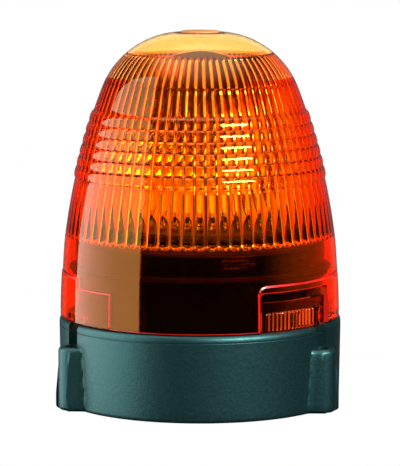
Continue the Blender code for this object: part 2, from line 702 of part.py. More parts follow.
def make_gears(finishes):
    """The gear on the rotor, the double idler and the motor's pinion, in mesh with each other."""
    idler, motor = idler_axis(), motor_axis()
    to_idler = direction(Vector((0, 0, 0)), idler)
    to_motor = direction(idler, motor)
    half_pitch = math.pi / PINION_TEETH

    main = prism("drive_gear", gear_outline(MAIN_TEETH, to_idler), *MAIN_GEAR_Z, finishes["white_acetal"])
    hub_low, hub_high = MAIN_GEAR_Z[0] + 1.0 * MM, HUB_TOP_Z
    join(main, cylinder("gear_hub", HUB_R, hub_low, hub_high, None, (0, 0), 24))
    cut(main, cylinder("gear_bore", 10.0 * MM, 60.0 * MM, 80.0 * MM, None, (0, 0), 24))
    for number, bearing in enumerate((0, 120, 240), 1):
        centre = at(12.1 * MM, bearing + 30)
        cut(main, cylinder(f"hub_pilot_{number}", 1.2 * MM, 70.5 * MM, 80.0 * MM, None, centre, 10))

    place = Matrix.Translation(idler)
    double = prism("idler_gear", gear_outline(IDLER_LARGE_TEETH, to_motor), *LOWER_GEARS_Z,
                   finishes["white_acetal"], place)
    join(double, cylinder("idler_foot", 3.4 * MM, CHASSIS_TOP_Z + GAP, LOWER_GEARS_Z[0] + 0.5 * MM, None, idler, 16))
    small = gear_outline(PINION_TEETH, to_idler + math.pi + half_pitch)
    join(double, prism("idler_pinion", small, LOWER_GEARS_Z[1] - 0.5 * MM, MAIN_GEAR_Z[1], None, place))
    cut(double, cylinder("idler_bore", IDLER_AXLE_R + 0.1 * MM, 50.0 * MM, 80.0 * MM, None, idler, 16))

    place = Matrix.Translation(motor)
    pinion = prism("motor_pinion", gear_outline(PINION_TEETH, to_motor + math.pi + half_pitch),
                   LOWER_GEARS_Z[0] + 0.1 * MM, LOWER_GEARS_Z[1], finishes["brass"], place)
    cut(pinion, cylinder("pinion_bore", 1.2 * MM + GAP, 50.0 * MM, 80.0 * MM, None, motor, 12))


def make_idler_axle(finishes):
    centre = idler_axis()
    place = Matrix.Translation(centre)
    head_bottom = CHASSIS_BOTTOM_Z - GAP - 1.2 * MM
    groove = (MAIN_GEAR_Z[1] + 0.35 * MM, MAIN_GEAR_Z[1] + 1.0 * MM)
    turned(
        "idler_axle",
        [
            (0, head_bottom),
            (2.6 * MM, head_bottom),
            (2.6 * MM, CHASSIS_BOTTOM_Z - GAP),
            (IDLER_AXLE_R, CHASSIS_BOTTOM_Z - GAP),
            (IDLER_AXLE_R, groove[0]),
            (1.05 * MM, groove[0]),
            (1.05 * MM, groove[1]),
            (IDLER_AXLE_R, groove[1]),
            (IDLER_AXLE_R, groove[1] + 0.5 * MM),
            (0, groove[1] + 0.5 * MM),
        ],
        finishes["zinc_steel"],
        16,
        place,
    )
    clip = ring("idler_clip", 1.2 * MM, 2.9 * MM, groove[0] + 0.08 * MM, groove[1] - 0.08 * MM,
                finishes["zinc_steel"], 16, centre)
    mouth = (centre.x - 0.75 * MM, centre.y, groove[0] - 1.0 * MM), (centre.x + 0.75 * MM, centre.y + 4.0 * MM, groove[1] + 1.0 * MM)
    cut(clip, block("clip_mouth", *mouth))


# ---------------------------------------------------------------- column, rotor and reflector


def make_column(finishes):
    flange_top = CHASSIS_BOTTOM_Z - GAP
    groove = (81.2 * MM, 82.3 * MM)
    column = turned(
        "lamp_column",
        [
            (COLUMN_BORE_R, flange_top - 2.5 * MM),
            (14.5 * MM, flange_top - 2.5 * MM),
            (14.5 * MM, flange_top),
            (COLUMN_R, flange_top),
            (COLUMN_R, groove[0]),
            (COLUMN_R - 0.9 * MM, groove[0]),
            (COLUMN_R - 0.9 * MM, groove[1]),
            (COLUMN_R, groove[1]),
            (COLUMN_R, COLUMN_TOP_Z),
            (COLUMN_BORE_R, COLUMN_TOP_Z),
        ],
        finishes["black_nylon"],
        24,
    )
    for number, bearing in enumerate((40, 130, 310), 1):
        centre = at(11.6 * MM, bearing)
        low = flange_top - 5.0 * MM
        cut(column, cylinder(f"column_pilot_{number}", 1.5 * MM, low, flange_top + 1.0 * MM, None, centre, 12))
        tip = Vector((centre.x, centre.y, CHASSIS_TOP_Z + 0.2 * MM))
        length = tip.z - (flange_top - 2.5 * MM - GAP)
        screw(f"column_screw_{number}", tip, (0, 0, -1), 1.15 * MM, length, 2.2 * MM, 1.5 * MM, finishes["zinc_steel"])
    clip = ring("rotor_clip", COLUMN_R - 0.6 * MM, COLUMN_R + 2.0 * MM, groove[0] + 0.15 * MM, groove[1] - 0.15 * MM,
                finishes["zinc_steel"], 24)
    cut(clip, block("rotor_clip_mouth", (-3.0 * MM, 0, 80.0 * MM), (3.0 * MM, 14.0 * MM, 84.0 * MM)))
    ring("rotor_bush", COLUMN_R + 0.1 * MM, 9.7 * MM, MAIN_GEAR_Z[0] - 0.6 * MM, 80.6 * MM, finishes["brass"], 24)


def make_turntable(finishes):
    table = turned(
        "turntable",
        [
            (10.0 * MM, TURNTABLE_Z[0]),
            (TURNTABLE_R, TURNTABLE_Z[0]),
            (TURNTABLE_R, TURNTABLE_Z[1] - 0.5 * MM),
            (TURNTABLE_R - 0.5 * MM, TURNTABLE_Z[1]),
            (10.0 * MM, TURNTABLE_Z[1]),
        ],
        finishes["black_nylon"],
        36,
    )
    for number, bearing in enumerate((30, 150, 270), 1):
        centre = at(12.1 * MM, bearing)
        hole = cylinder(f"table_hole_{number}", 1.3 * MM, 76.0 * MM, 81.0 * MM, None, centre, 10)
        cut(table, hole)
        tip = Vector((centre.x, centre.y, 72.0 * MM))
        length = TURNTABLE_Z[1] + GAP - tip.z
        screw(f"turntable_screw_{number}", tip, (0, 0, 1), 0.9 * MM, length, 1.7 * MM, 0.9 * MM, finishes["zinc_steel"])
    for number, side in enumerate((-1, 1), 1):
        centre = turn_to(REFLECTOR_BEARING) @ Vector((side * 6.0 * MM, 27.5 * MM, 0))
        cut(table, cylinder(f"foot_hole_{number}", 1.4 * MM, 76.0 * MM, 81.0 * MM, None, centre, 10))


BRACKET_Y = (22.2 * MM, 23.7 * MM)
BRACKET_SCREW_Z = 108.0 * MM


def make_bracket(finishes):
    """An upright sheet-metal angle behind the reflector, screwed to it and to the turntable."""
    turn = turn_to(REFLECTOR_BEARING)
    foot_z = (TURNTABLE_Z[1] + GAP, TURNTABLE_Z[1] + GAP + 1.5 * MM)
    bracket = block("reflector_bracket", (-10.0 * MM, BRACKET_Y[0], foot_z[0]), (10.0 * MM, BRACKET_Y[1], 114.0 * MM),
                    finishes["zinc_steel"], turn)
    join(bracket, block("bracket_foot", (-10.0 * MM, BRACKET_Y[0] + 0.2 * MM, foot_z[0]),
                        (10.0 * MM, 31.5 * MM, foot_z[1]), None, turn))
    for number, side in enumerate((-1, 1), 1):
        x = side * 6.0 * MM
        foot = turn @ Vector((x, 27.5 * MM, 0))
        cut(bracket, cylinder(f"bracket_foot_hole_{number}", 1.4 * MM, 76.0 * MM, 84.0 * MM, None, foot, 10))
        tip = Vector((foot.x, foot.y, 76.2 * MM))
        length = foot_z[1] + GAP - tip.z
        screw(f"foot_screw_{number}", tip, (0, 0, 1), 1.0 * MM, length, 2.0 * MM, 1.1 * MM, finishes["zinc_steel"])
        back = turn @ Matrix.Translation((x, 0, BRACKET_SCREW_Z)) @ Matrix.Rotation(math.radians(-90), 4, "X")
        hole = [(0, 20.0 * MM), (1.4 * MM, 20.0 * MM), (1.4 * MM, 26.0 * MM), (0, 26.0 * MM)]
        cut(bracket, turned(f"bracket_back_hole_{number}", hole, None, 10, back))
        tip = turn @ Vector((x, 18.6 * MM, BRACKET_SCREW_Z))
        axis = turn.to_3x3() @ Vector((0, 1, 0))
        length = BRACKET_Y[1] + GAP - 18.6 * MM
        screw(f"reflector_screw_{number}", tip, axis, 1.0 * MM, length, 2.0 * MM, 1.2 * MM, finishes["zinc_steel"])


def make_reflector(finishes):
    """Half of a paraboloid bowl whose focus is the filament, open to the front, with a lip."""
    steps = 7
    bowl = []
    for step in range(steps + 1):
        radius = REFLECTOR_R * step / steps
        bowl.append((radius, FOCAL_LENGTH - radius**2 / (4 * FOCAL_LENGTH)))
    rim = bowl[-1][1]
    back = [(radius, depth + REFLECTOR_WALL) for radius, depth in bowl[:-1]]
    lip = [(REFLECTOR_LIP_R, rim), (REFLECTOR_LIP_R, rim + 1.4 * MM), (REFLECTOR_R - 1.0 * MM, rim + 2.2 * MM)]
    turn = turn_to(REFLECTOR_BEARING)
    lay_down = turn @ Matrix.Translation((0, 0, FILAMENT_Z)) @ Matrix.Rotation(math.radians(-90), 4, "X")
    bowl_outline = bowl + lip + back[::-1]
    reflector = turned("reflector", bowl_outline, finishes["mirror"], 36, lay_down)
    for number, side in enumerate((-1, 1), 1):
        x = side * 6.0 * MM
        offset = turn @ Matrix.Translation((x, 0, BRACKET_SCREW_Z)) @ Matrix.Rotation(math.radians(-90), 4, "X")
        top = BRACKET_Y[0] - GAP
        boss = [(0, 18.2 * MM), (2.6 * MM, 18.2 * MM), (2.6 * MM, top), (0, top)]
        pilot = [(0, 18.3 * MM), (1.3 * MM, 18.3 * MM), (1.3 * MM, top + 1.0 * MM), (0, top + 1.0 * MM)]
        join(reflector, turned(f"reflector_boss_{number}", boss, None, 14, offset))
        cut(reflector, turned(f"reflector_pilot_{number}", pilot, None, 10, offset))
    cut(reflector, cylinder("socket_notch", REFLECTOR_NOTCH_R, 70.0 * MM, 99.0 * MM, None, (0, 0), 32))


# ---------------------------------------------------------------- lamp


def make_socket(finishes):
    """The lamp's seat on top of the column, with a bore for its base and two ears for the clip."""
    bottom, seat = COLUMN_TOP_Z + GAP, LAMP_FLANGE_Z - 0.8 * MM - GAP
    socket = turned(
        "lamp_socket",
        [
            (3.2 * MM, bottom),
            (7.6 * MM, bottom),
            (SOCKET_R, bottom + 2.4 * MM),
            (SOCKET_R, seat),
            (6.9 * MM, seat),
            (6.9 * MM, seat - 7.0 * MM),
            (3.2 * MM, seat - 7.0 * MM),
        ],
        finishes["white_acetal"],
        24,
    )
    for number, side in enumerate((-1, 1), 1):
        inner, outer = 2.4 * MM, 4.2 * MM
        low = (min(side * inner, side * outer), 7.2 * MM, seat - 1.5 * MM)
        high = (max(side * inner, side * outer), 9.6 * MM, CLIP_Z + 1.3 * MM)
        join(socket, block(f"clip_ear_{number}", low, high))
    pivot = Matrix.Translation((0, CLIP_PIVOT_Y, CLIP_Z)) @ Matrix.Rotation(math.radians(90), 4, "Y")
    bore_r = CLIP_WIRE_R + 0.1 * MM
    reach = 9.0 * MM
    bore = [(0, -reach), (bore_r, -reach), (bore_r, reach), (0, reach)]
    cut(socket, turned("clip_bore", bore, None, 12, pivot))
    return socket


def make_clip(finishes):
    """A bent-wire clip: its back bar turns in the socket's ears, its arms press on the flange."""
    back, front, arm = CLIP_PIVOT_Y, -7.4 * MM, CLIP_ARM_X
    side = [(arm - 1.1 * MM, back), (arm, back - 1.1 * MM), (arm, front), (arm + 2.2 * MM, front - 1.4 * MM)]
    route = [(-x, y) for x, y in reversed(side)] + side
    curve = bpy.data.curves.new("lamp_clip", "CURVE")
    curve.dimensions = "3D"
    curve.bevel_depth = CLIP_WIRE_R
    curve.bevel_resolution = 1
    curve.use_fill_caps = True
    line = curve.splines.new("POLY")
    line.points.add(len(route) - 1)
    for slot, (x, y) in zip(line.points, route):
        slot.co = (x, y - back, 0, 1)
    curve.materials.append(finishes["zinc_steel"])
    clip = bpy.data.objects.new("lamp_clip", curve)
    clip.location = (0, back, CLIP_Z)
    bpy.context.scene.collection.objects.link(clip)


def make_lamp(finishes):
    """A halogen lamp: metal base with its flange, a glass capsule open below, and the filament."""
    flange_bottom = LAMP_FLANGE_Z - 0.8 * MM
    neck_top = LAMP_FLANGE_Z + 5.0 * MM
    turned(
        "lamp_base",
        [
            (0, flange_bottom - 6.0 * MM),
            (6.5 * MM, flange_bottom - 6.0 * MM),
            (6.5 * MM, flange_bottom),
            (LAMP_FLANGE_R, flange_bottom),
            (LAMP_FLANGE_R, LAMP_FLANGE_Z),
            (5.6 * MM, LAMP_FLANGE_Z),
            (5.6 * MM, neck_top),
            (GLASS_R + GAP, neck_top),
            (GLASS_R + GAP, LAMP_FLANGE_Z + 1.0 * MM),
            (0, LAMP_FLANGE_Z + 1.0 * MM),
        ],
        finishes["zinc_steel"],
        24,
    )
    bottom, wall = LAMP_FLANGE_Z + 1.3 * MM, 0.9 * MM
    outer, inner = [(GLASS_R, bottom)], [(GLASS_R - wall, bottom)]
    crown_z, steps = LAMP_TIP_Z - GLASS_R, 4
    for step in range(steps + 1):
        angle = math.radians(90) * step / steps
        outer.append((GLASS_R * math.cos(angle), crown_z + GLASS_R * math.sin(angle)))
        reach = GLASS_R - wall
        inner.append((reach * math.cos(angle), crown_z + reach * math.sin(angle)))
    outer[-1] = (0, LAMP_TIP_Z)
    inner[-1] = (0, LAMP_TIP_Z - wall)
    turned("lamp_glass", outer + inner[::-1], finishes["quartz"], 18)
    turned(
        "lamp_filament",
        [
            (0, bottom + 0.2 * MM),
            (1.2 * MM, bottom + 0.2 * MM),
            (1.2 * MM, bottom + 3.0 * MM),
            (0.4 * MM, bottom + 4.0 * MM),
            (0.4 * MM, FILAMENT_Z - 2.6 * MM),
            (0.8 * MM, FILAMENT_Z - 2.5 * MM),
            (0.8 * MM, FILAMENT_Z + 2.5 * MM),
            (0.4 * MM, FILAMENT_Z + 2.6 * MM),
            (0.4 * MM, FILAMENT_Z + 4.5 * MM),
            (0, FILAMENT_Z + 4.5 * MM),
        ],
        finishes["tungsten"],
        10,
    )


# ---------------------------------------------------------------- wiring


def make_wires(finishes):
    """Leads from the terminals to the lamp socket, up the column's bore, and to the motor."""
    block_y = TERMINAL_CENTRE.y + 9.3 * MM
    entry_z = PLATE_TOP_Z + GAP + 3.7 * MM
    left, middle, right = (TERMINAL_CENTRE.x + index * TERMINAL_PITCH for index in (-1, 0, 1))
    motor = motor_axis()
    radius = 1.0 * MM
    socket_z = COLUMN_TOP_Z - 1.0 * MM
    lamp_low, lamp_mid, lamp_high = 14.0 * MM, 30.0 * MM, 50.0 * MM
    for name, start_x, side, finish in (
        ("lamp_lead_live", middle, -1, "red_wire"),
        ("lamp_lead_earth", right, 1, "black_wire"),
    ):
        x = side * 1.6 * MM
        wire(
            name,
            [
                (start_x, block_y - 3.8 * MM, entry_z),
                (start_x, block_y + 1.0 * MM, entry_z + 0.5 * MM),
                (start_x * 0.7 + x, block_y + 5.5 * MM, lamp_low),
                (start_x * 0.3 + x, 3.5 * MM, lamp_mid),
                (x, 0.5 * MM, lamp_high),
                (x, 0, 58.0 * MM),
                (x, 0, socket_z),
            ],
            radius,
            finishes[finish],
        )
    for name, start_x, side, finish in (
        ("motor_lead_live", left, -1, "red_wire"),
        ("motor_lead_earth", left + 5.6 * MM, 1, "black_wire"),
    ):
        end = motor + at(4.5 * MM, motor_bearing() + 90 * side)
        wire(
            name,
            [
                (start_x - 1.8 * MM, block_y - 2.6 * MM, entry_z + (4.0 * MM if side > 0 else 0)),
                (start_x - 2.6 * MM, block_y + 2.0 * MM, entry_z + (4.2 * MM if side > 0 else 0.4 * MM)),
                (start_x * 0.5 + end.x * 0.5, (block_y + end.y) / 2, 11.0 * MM + side * 1.5 * MM),
                (end.x, end.y - 1.0 * MM, 18.0 * MM),
                (end.x, end.y, MOTOR_BOTTOM_Z - GAP),
            ],
            radius,
            finishes[finish],
        )


def main():
    for old in list(bpy.data.objects):
        bpy.data.objects.remove(old)
    finishes = make_materials()
    make_housing(finishes["housing"])
    make_lens(finishes["amber"])
    make_latch(finishes["amber"])
    make_seal(finishes["rubber"])
    make_bottom(finishes)
    make_inlet(finishes)
    make_terminal_block(finishes)
    make_chassis(finishes)
    make_motor(finishes)
    make_gears(finishes)
    make_idler_axle(finishes)
    make_column(finishes)
    make_turntable(finishes)
    make_bracket(finishes)
    make_reflector(finishes)
    make_socket(finishes)
    make_clip(finishes)
    make_lamp(finishes)
    make_wires(finishes)


main()
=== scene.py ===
"""The looks of the rotating beacon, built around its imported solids.

Bearings are angles about the spin axis, in degrees from the front (-Y), positive towards +X.
"""

import json
import math

import bmesh
import bpy
from mathutils import Matrix, Vector


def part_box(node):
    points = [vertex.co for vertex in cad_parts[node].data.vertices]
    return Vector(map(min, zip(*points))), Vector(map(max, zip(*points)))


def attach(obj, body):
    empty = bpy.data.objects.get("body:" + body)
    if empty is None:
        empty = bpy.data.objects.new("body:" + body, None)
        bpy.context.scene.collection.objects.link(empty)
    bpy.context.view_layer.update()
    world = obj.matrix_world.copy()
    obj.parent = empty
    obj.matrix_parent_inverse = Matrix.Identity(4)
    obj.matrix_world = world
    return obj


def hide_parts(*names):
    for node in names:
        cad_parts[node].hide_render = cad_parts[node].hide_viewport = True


MM = 0.001
FRONT = -90.0  # the front's angle about +Z, from +X


# ------------------------------------------------------------------ frame and size

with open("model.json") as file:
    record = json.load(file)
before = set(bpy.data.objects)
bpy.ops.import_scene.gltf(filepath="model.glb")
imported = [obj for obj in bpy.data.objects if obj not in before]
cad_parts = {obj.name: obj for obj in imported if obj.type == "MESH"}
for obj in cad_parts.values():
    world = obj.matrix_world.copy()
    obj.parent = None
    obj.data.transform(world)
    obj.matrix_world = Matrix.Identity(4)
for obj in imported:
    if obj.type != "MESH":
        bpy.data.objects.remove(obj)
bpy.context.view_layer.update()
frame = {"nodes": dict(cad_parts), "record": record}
NODES = frame["nodes"]

LENS_LOW, LENS_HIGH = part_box("lens")
LENS_FOOT_Z = LENS_LOW.z
LENS_FOOT_R = 64.3 * MM
FLANK_ARC_R = 290.0 * MM
SHOULDER_Z = 144.0 * MM
LENS_TOP_Z = LENS_HIGH.z - 0.5 * MM
LUG_BEARINGS = (60, 180, 300)
BAYONET_BEARINGS = (75, 188, 300)
BAYONET_HALF_DEG = 7
BAYONET_CORNER = 0.5 * MM
BAYONET_HOOKS = ((44.4, 47.0), (56.5, 59.7))  # the housing's, as heights and radii in mm
BAYONET_LUGS = ((41.0, 43.6), (60.0, 63.0))  # the lens's
SCREW_CIRCLE_R = 65.0 * MM
MOULDING_SHARP = 40
REFLECTOR_BEARING = -14.0
FILAMENT_Z = 121.0 * MM
LAMP_FLANGE_Z = 96.0 * MM


def at(radius, bearing, z=0.0):
    angle = math.radians(bearing + FRONT)
    return Vector((radius * math.cos(angle), radius * math.sin(angle), z))


def turn_to(bearing):
    return Matrix.Rotation(math.radians(bearing), 4, "Z")


def smooth_step(low, high, value):
    t = min(1.0, max(0.0, (value - low) / (high - low)))
    return t * t * (3 - 2 * t)


def smooth_max(a, b, blend):
    """The larger of a and b, with a fillet of about the size blend where they cross."""
    h = max(blend - abs(a - b), 0.0) / blend
    return max(a, b) + h * h * blend / 4


# ------------------------------------------------------------------ node materials


def new_material(name):
    made = bpy.data.materials.new(name)
    made.use_nodes = True
    return made, made.node_tree, made.node_tree.nodes["Principled BSDF"]


def add_node(tree, kind, **inputs):
    node = tree.nodes.new(kind)
    for key, value in inputs.items():
        node.inputs[key.replace("_", " ")].default_value = value
    return node


def object_space(tree):
    return tree.nodes.new("ShaderNodeTexCoord").outputs["Object"]


def noise(tree, space, scale, detail=3.0):
    node = add_node(tree, "ShaderNodeTexNoise", Scale=scale, Detail=detail)
    tree.links.new(space, node.inputs["Vector"])
    return node.outputs["Fac"]


def ramp(tree, factor, stops):
    node = tree.nodes.new("ShaderNodeValToRGB")
    while len(node.color_ramp.elements) < len(stops):
        node.color_ramp.elements.new(0.5)
    for element, (place, colour) in zip(node.color_ramp.elements, stops):
        element.position = place
        element.color = (*colour, 1.0) if len(colour) == 3 else colour
    tree.links.new(factor, node.inputs["Fac"])
    return node.outputs["Color"]


def spread(tree, factor, low, high):
    node = tree.nodes.new("ShaderNodeMapRange")
    node.inputs["To Min"].default_value = low
    node.inputs["To Max"].default_value = high
    tree.links.new(factor, node.inputs["Value"])
    return node.outputs["Result"]


def bump(tree, shader, height, strength, distance):
    node = add_node(tree, "ShaderNodeBump", Strength=strength, Distance=distance)
    tree.links.new(height, node.inputs["Height"])
    tree.links.new(node.outputs["Normal"], shader.inputs["Normal"])


def surface(name, dark, light, roughness, metallic=0.0, grain=900.0, relief=0.15, shine=0.5):
    """A finish whose colour and roughness vary softly, with a fine grain in its relief."""
    made, tree, shader = new_material(name)
    space = object_space(tree)
    broad = noise(tree, space, 60.0, 4.0)
    fine = noise(tree, space, grain, 2.0)
    tree.links.new(ramp(tree, broad, [(0.3, dark), (0.7, light)]), shader.inputs["Base Color"])
    tree.links.new(spread(tree, broad, roughness[0], roughness[1]), shader.inputs["Roughness"])
    shader.inputs["Metallic"].default_value = metallic
    shader.inputs["Specular IOR Level"].default_value = shine
    bump(tree, shader, fine, relief, 0.0001)
    return made


def spark_plastic():
    """Dark blue-green moulding plastic with a fine spark-eroded grain."""
    made, tree, shader = new_material("spark_textured_plastic")
    space = object_space(tree)
    broad = noise(tree, space, 45.0, 5.0)
    speck = noise(tree, space, 2400.0, 2.0)
    grain = noise(tree, space, 700.0, 4.0)
    base = ramp(tree, broad, [(0.25, (0.0015, 0.006, 0.007)), (0.75, (0.003, 0.010, 0.011))])
    flecks = ramp(tree, speck, [(0.56, (0.0, 0.0, 0.0)), (0.78, (0.006, 0.02, 0.02))])
    mixed = tree.nodes.new("ShaderNodeMix")
    mixed.data_type = "RGBA"
    mixed.blend_type = "ADD"
    mixed.inputs["Factor"].default_value = 1.0
    tree.links.new(base, mixed.inputs[6])
    tree.links.new(flecks, mixed.inputs[7])
    tree.links.new(mixed.outputs[2], shader.inputs["Base Color"])
    tree.links.new(spread(tree, grain, 0.36, 0.52), shader.inputs["Roughness"])
    shader.inputs["Specular IOR Level"].default_value = 1.0
    shader.inputs["Specular Tint"].default_value = (0.35, 1.0, 1.0, 1.0)
    bump(tree, shader, grain, 0.35, 0.0002)
    return made


def clear_plastic(name, stops, gloss, shine=0.3, roughness=0.02, ior=1.56):
    """Clear moulding: its tint deepens from where it faces the eye to its edges, with a faint ripple."""
    made, tree, shader = new_material(name)
    space = object_space(tree)
    ripple = noise(tree, space, 35.0, 2.0)
    weight = add_node(tree, "ShaderNodeLayerWeight", Blend=0.5)
    uneven = tree.nodes.new("ShaderNodeMath")
    uneven.operation = "ADD"
    tree.links.new(weight.outputs["Facing"], uneven.inputs[0])
    tree.links.new(spread(tree, ripple, -0.04, 0.04), uneven.inputs[1])
    tree.links.new(ramp(tree, uneven.outputs[0], stops), shader.inputs["Base Color"])
    tree.links.new(spread(tree, ripple, roughness, roughness * 1.6), shader.inputs["Roughness"])
    shader.inputs["Transmission Weight"].default_value = 1.0
    shader.inputs["IOR"].default_value = ior
    shader.inputs["Specular IOR Level"].default_value = shine
    shader.inputs["Specular Tint"].default_value = (*gloss, 1.0)
    bump(tree, shader, ripple, 0.05, 0.0003)
    through = tree.nodes.new("ShaderNodeBsdfTransparent")
    through.inputs["Color"].default_value = (*(math.sqrt(c) for c in stops[0][1]), 1.0)
    path = tree.nodes.new("ShaderNodeLightPath")
    mix = tree.nodes.new("ShaderNodeMixShader")
    tree.links.new(path.outputs["Is Shadow Ray"], mix.inputs["Fac"])
    tree.links.new(shader.outputs["BSDF"], mix.inputs[1])
    tree.links.new(through.outputs["BSDF"], mix.inputs[2])
    tree.links.new(mix.outputs["Shader"], tree.nodes["Material Output"].inputs["Surface"])
    return made


# Tint by facing: 0 looks straight on, 1 edge on.
SKIN_TINT = [
    (0.0, (0.97, 0.24, 0.010)),
    (0.25, (0.96, 0.13, 0.006)),
    (0.5, (0.88, 0.035, 0.003)),
    (0.7, (0.74, 0.008, 0.001)),
    (1.0, (0.45, 0.002, 0.0005)),
]
RIB_TINT = [
    (0.0, (0.99, 0.72, 0.06)),
    (0.1, (0.98, 0.46, 0.02)),
    (0.22, (0.92, 0.10, 0.005)),
    (0.45, (0.66, 0.015, 0.002)),
    (0.75, (0.34, 0.003, 0.001)),
]
CROWN_TINT = [
    (0.0, (0.98, 0.12, 0.006)),
    (0.4, (0.98, 0.17, 0.008)),
    (0.7, (0.98, 0.40, 0.04)),
    (0.9, (1.0, 0.80, 0.40)),
]
DOME_TINT = [
    (0.14, (0.97, 0.20, 0.012)),
    (0.25, (0.98, 0.40, 0.045)),
    (0.34, (1.0, 0.80, 0.38)),
    (0.48, (1.0, 0.94, 0.72)),
    (0.88, (1.0, 0.98, 0.92)),
    (0.97, (0.55, 0.08, 0.04)),
]
LINING_TINT = [
    (0.04, (0.97, 0.30, 0.02)),
    (0.11, (0.98, 0.55, 0.10)),
    (0.17, (1.0, 0.88, 0.55)),
    (0.35, (1.0, 0.95, 0.78)),
]
LATCH_TINT = [
    (0.0, (0.60, 0.05, 0.006)),
    (0.25, (0.75, 0.05, 0.004)),
    (0.6, (0.8, 0.03, 0.003)),
    (1.0, (0.7, 0.01, 0.001)),
]
QUARTZ_TINT = [(0.0, (0.99, 0.99, 1.0)), (1.0, (0.90, 0.93, 0.95))]

AMBER = clear_plastic("amber_skin", SKIN_TINT, (1.0, 0.62, 0.16))
AMBER_RIBS = clear_plastic("amber_ribs", RIB_TINT, (1.0, 0.4, 0.1))
AMBER_DOME = clear_plastic("amber_dome", DOME_TINT, (1.0, 0.6, 0.3), shine=0.25)
AMBER_CROWN = clear_plastic("amber_crown_ribs", CROWN_TINT, (1.0, 0.8, 0.5))
AMBER_LINING = clear_plastic("amber_dome_lining", LINING_TINT, (1.0, 0.9, 0.7))
AMBER_LATCH = clear_plastic("amber_latch", LATCH_TINT, (0.85, 0.7, 0.4))
# Opaque dark red painted on the lens foot, the window's sides and thin lines round the latch frames: a
# painted edge glow, standing in for the deep red that light takes on passing lengthwise through the clear
# edges.
AMBER_EDGE_GLOW = surface(
    "amber_painted_edge_glow", (0.50, 0.008, 0.006), (0.72, 0.022, 0.010),
    (0.2, 0.4), grain=300.0, relief=0.05,
)
AMBER_GATE = surface(
    "amber_gate_mark", (0.40, 0.16, 0.05), (0.60, 0.28, 0.10),
    (0.4, 0.6), grain=300.0, relief=0.2,
)
LENS_FINISHES = (AMBER, AMBER_DOME, AMBER_EDGE_GLOW, AMBER_RIBS, AMBER_GATE, AMBER_CROWN, AMBER_LINING)
ON_SKIN, ON_DOME, ON_EDGE_GLOW, ON_RIBS, ON_GATE, ON_CROWN, ON_LINING = range(len(LENS_FINISHES))
HOUSING = spark_plastic()
DRUM = surface(
    "drum_plastic", (0.0004, 0.0005, 0.0005), (0.0008, 0.0010, 0.0010),
    (0.04, 0.07), grain=500.0, relief=0.0, shine=0.05,
)
DECK = surface(
    "deck_plastic", (0.004, 0.0045, 0.0045), (0.009, 0.010, 0.010),
    (0.5, 0.7), grain=700.0, relief=0.3, shine=0.08,
)
MIRROR = surface(
    "vacuum_metallised", (0.88, 0.88, 0.88), (0.95, 0.95, 0.95),
    (0.03, 0.07), metallic=1.0, grain=300.0, relief=0.02,
)
ZINC = surface(
    "zinc_plate", (0.50, 0.51, 0.50), (0.72, 0.72, 0.68),
    (0.25, 0.42), metallic=1.0, grain=700.0, relief=0.12,
)
BRASS = surface(
    "machined_brass", (0.62, 0.42, 0.14), (0.82, 0.60, 0.26),
    (0.22, 0.38), metallic=1.0, grain=600.0, relief=0.12,
)
ACETAL = surface(
    "white_acetal", (0.72, 0.71, 0.65), (0.84, 0.83, 0.78),
    (0.35, 0.5), grain=500.0, relief=0.1,
)
NYLON = surface(
    "grey_nylon", (0.28, 0.29, 0.30), (0.38, 0.39, 0.40),
    (0.4, 0.55), grain=500.0, relief=0.15,
)
BLACK_NYLON = surface(
    "black_nylon", (0.012, 0.012, 0.013), (0.022, 0.022, 0.024),
    (0.4, 0.55), grain=500.0, relief=0.15, shine=0.12,
)
RUBBER = surface(
    "moulded_rubber", (0.003, 0.003, 0.0032), (0.008, 0.008, 0.0085),
    (0.65, 0.85), grain=400.0, relief=0.3, shine=0.05,
)
QUARTZ = clear_plastic("quartz_glass", QUARTZ_TINT, (1.0, 1.0, 1.0), shine=0.5, roughness=0.01, ior=1.46)
TUNGSTEN = surface(
    "tungsten", (0.16, 0.16, 0.17), (0.32, 0.31, 0.30),
    (0.35, 0.5), metallic=1.0, grain=900.0, relief=0.3,
)
RED_WIRE = surface(
    "red_insulation", (0.36, 0.01, 0.012), (0.48, 0.02, 0.02),
    (0.35, 0.5), grain=400.0, relief=0.1,
)
BLACK_WIRE = surface(
    "black_insulation", (0.012, 0.012, 0.012), (0.025, 0.025, 0.025),
    (0.35, 0.5), grain=400.0, relief=0.1,
)
WINDINGS = surface(
    "enamelled_windings", (0.22, 0.06, 0.02), (0.42, 0.14, 0.05),
    (0.25, 0.4), metallic=0.6, grain=900.0, relief=0.4,
)

SLOT_FINISH = {
    "housing": HOUSING,
    "amber": AMBER,
    "rubber": RUBBER,
    "zinc_steel": ZINC,
    "brass": BRASS,
    "mirror": MIRROR,
    "white_acetal": ACETAL,
    "grey_nylon": NYLON,
    "black_nylon": BLACK_NYLON,
    "quartz": QUARTZ,
    "tungsten": TUNGSTEN,
    "red_wire": RED_WIRE,
    "black_wire": BLACK_WIRE,
}

for part in frame["record"]["subparts"]:
    node = NODES[part["node"]]
    finish = WINDINGS if part["node"] == "motor_armature" else SLOT_FINISH[part["material_slot"]]
    node.data.materials.clear()
    node.data.materials.append(finish)


# ------------------------------------------------------------------ mesh tools

ON_AXIS = 1e-9
DRILL_PHASE = 0.37  # turns a drill's corners away from the columns it cuts


def add_piece(name, shape, finishes, body, replaced, sharp=35, place=None):
    """A finished piece: normals outwards, smooth shaded, riding on its body."""
    bmesh.ops.recalc_face_normals(shape, faces=shape.faces)
    mesh = bpy.data.meshes.new(name)
    shape.to_mesh(mesh)
    shape.free()
    for finish in finishes:
        mesh.materials.append(finish)
    made = bpy.data.objects.new(name, mesh)
    bpy.context.scene.collection.objects.link(made)
    if place is not None:
        mesh.transform(place)
    mesh.shade_smooth()
    mesh.set_sharp_from_angle(angle=math.radians(sharp))
    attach(made, body)
    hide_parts(*replaced)
    return made


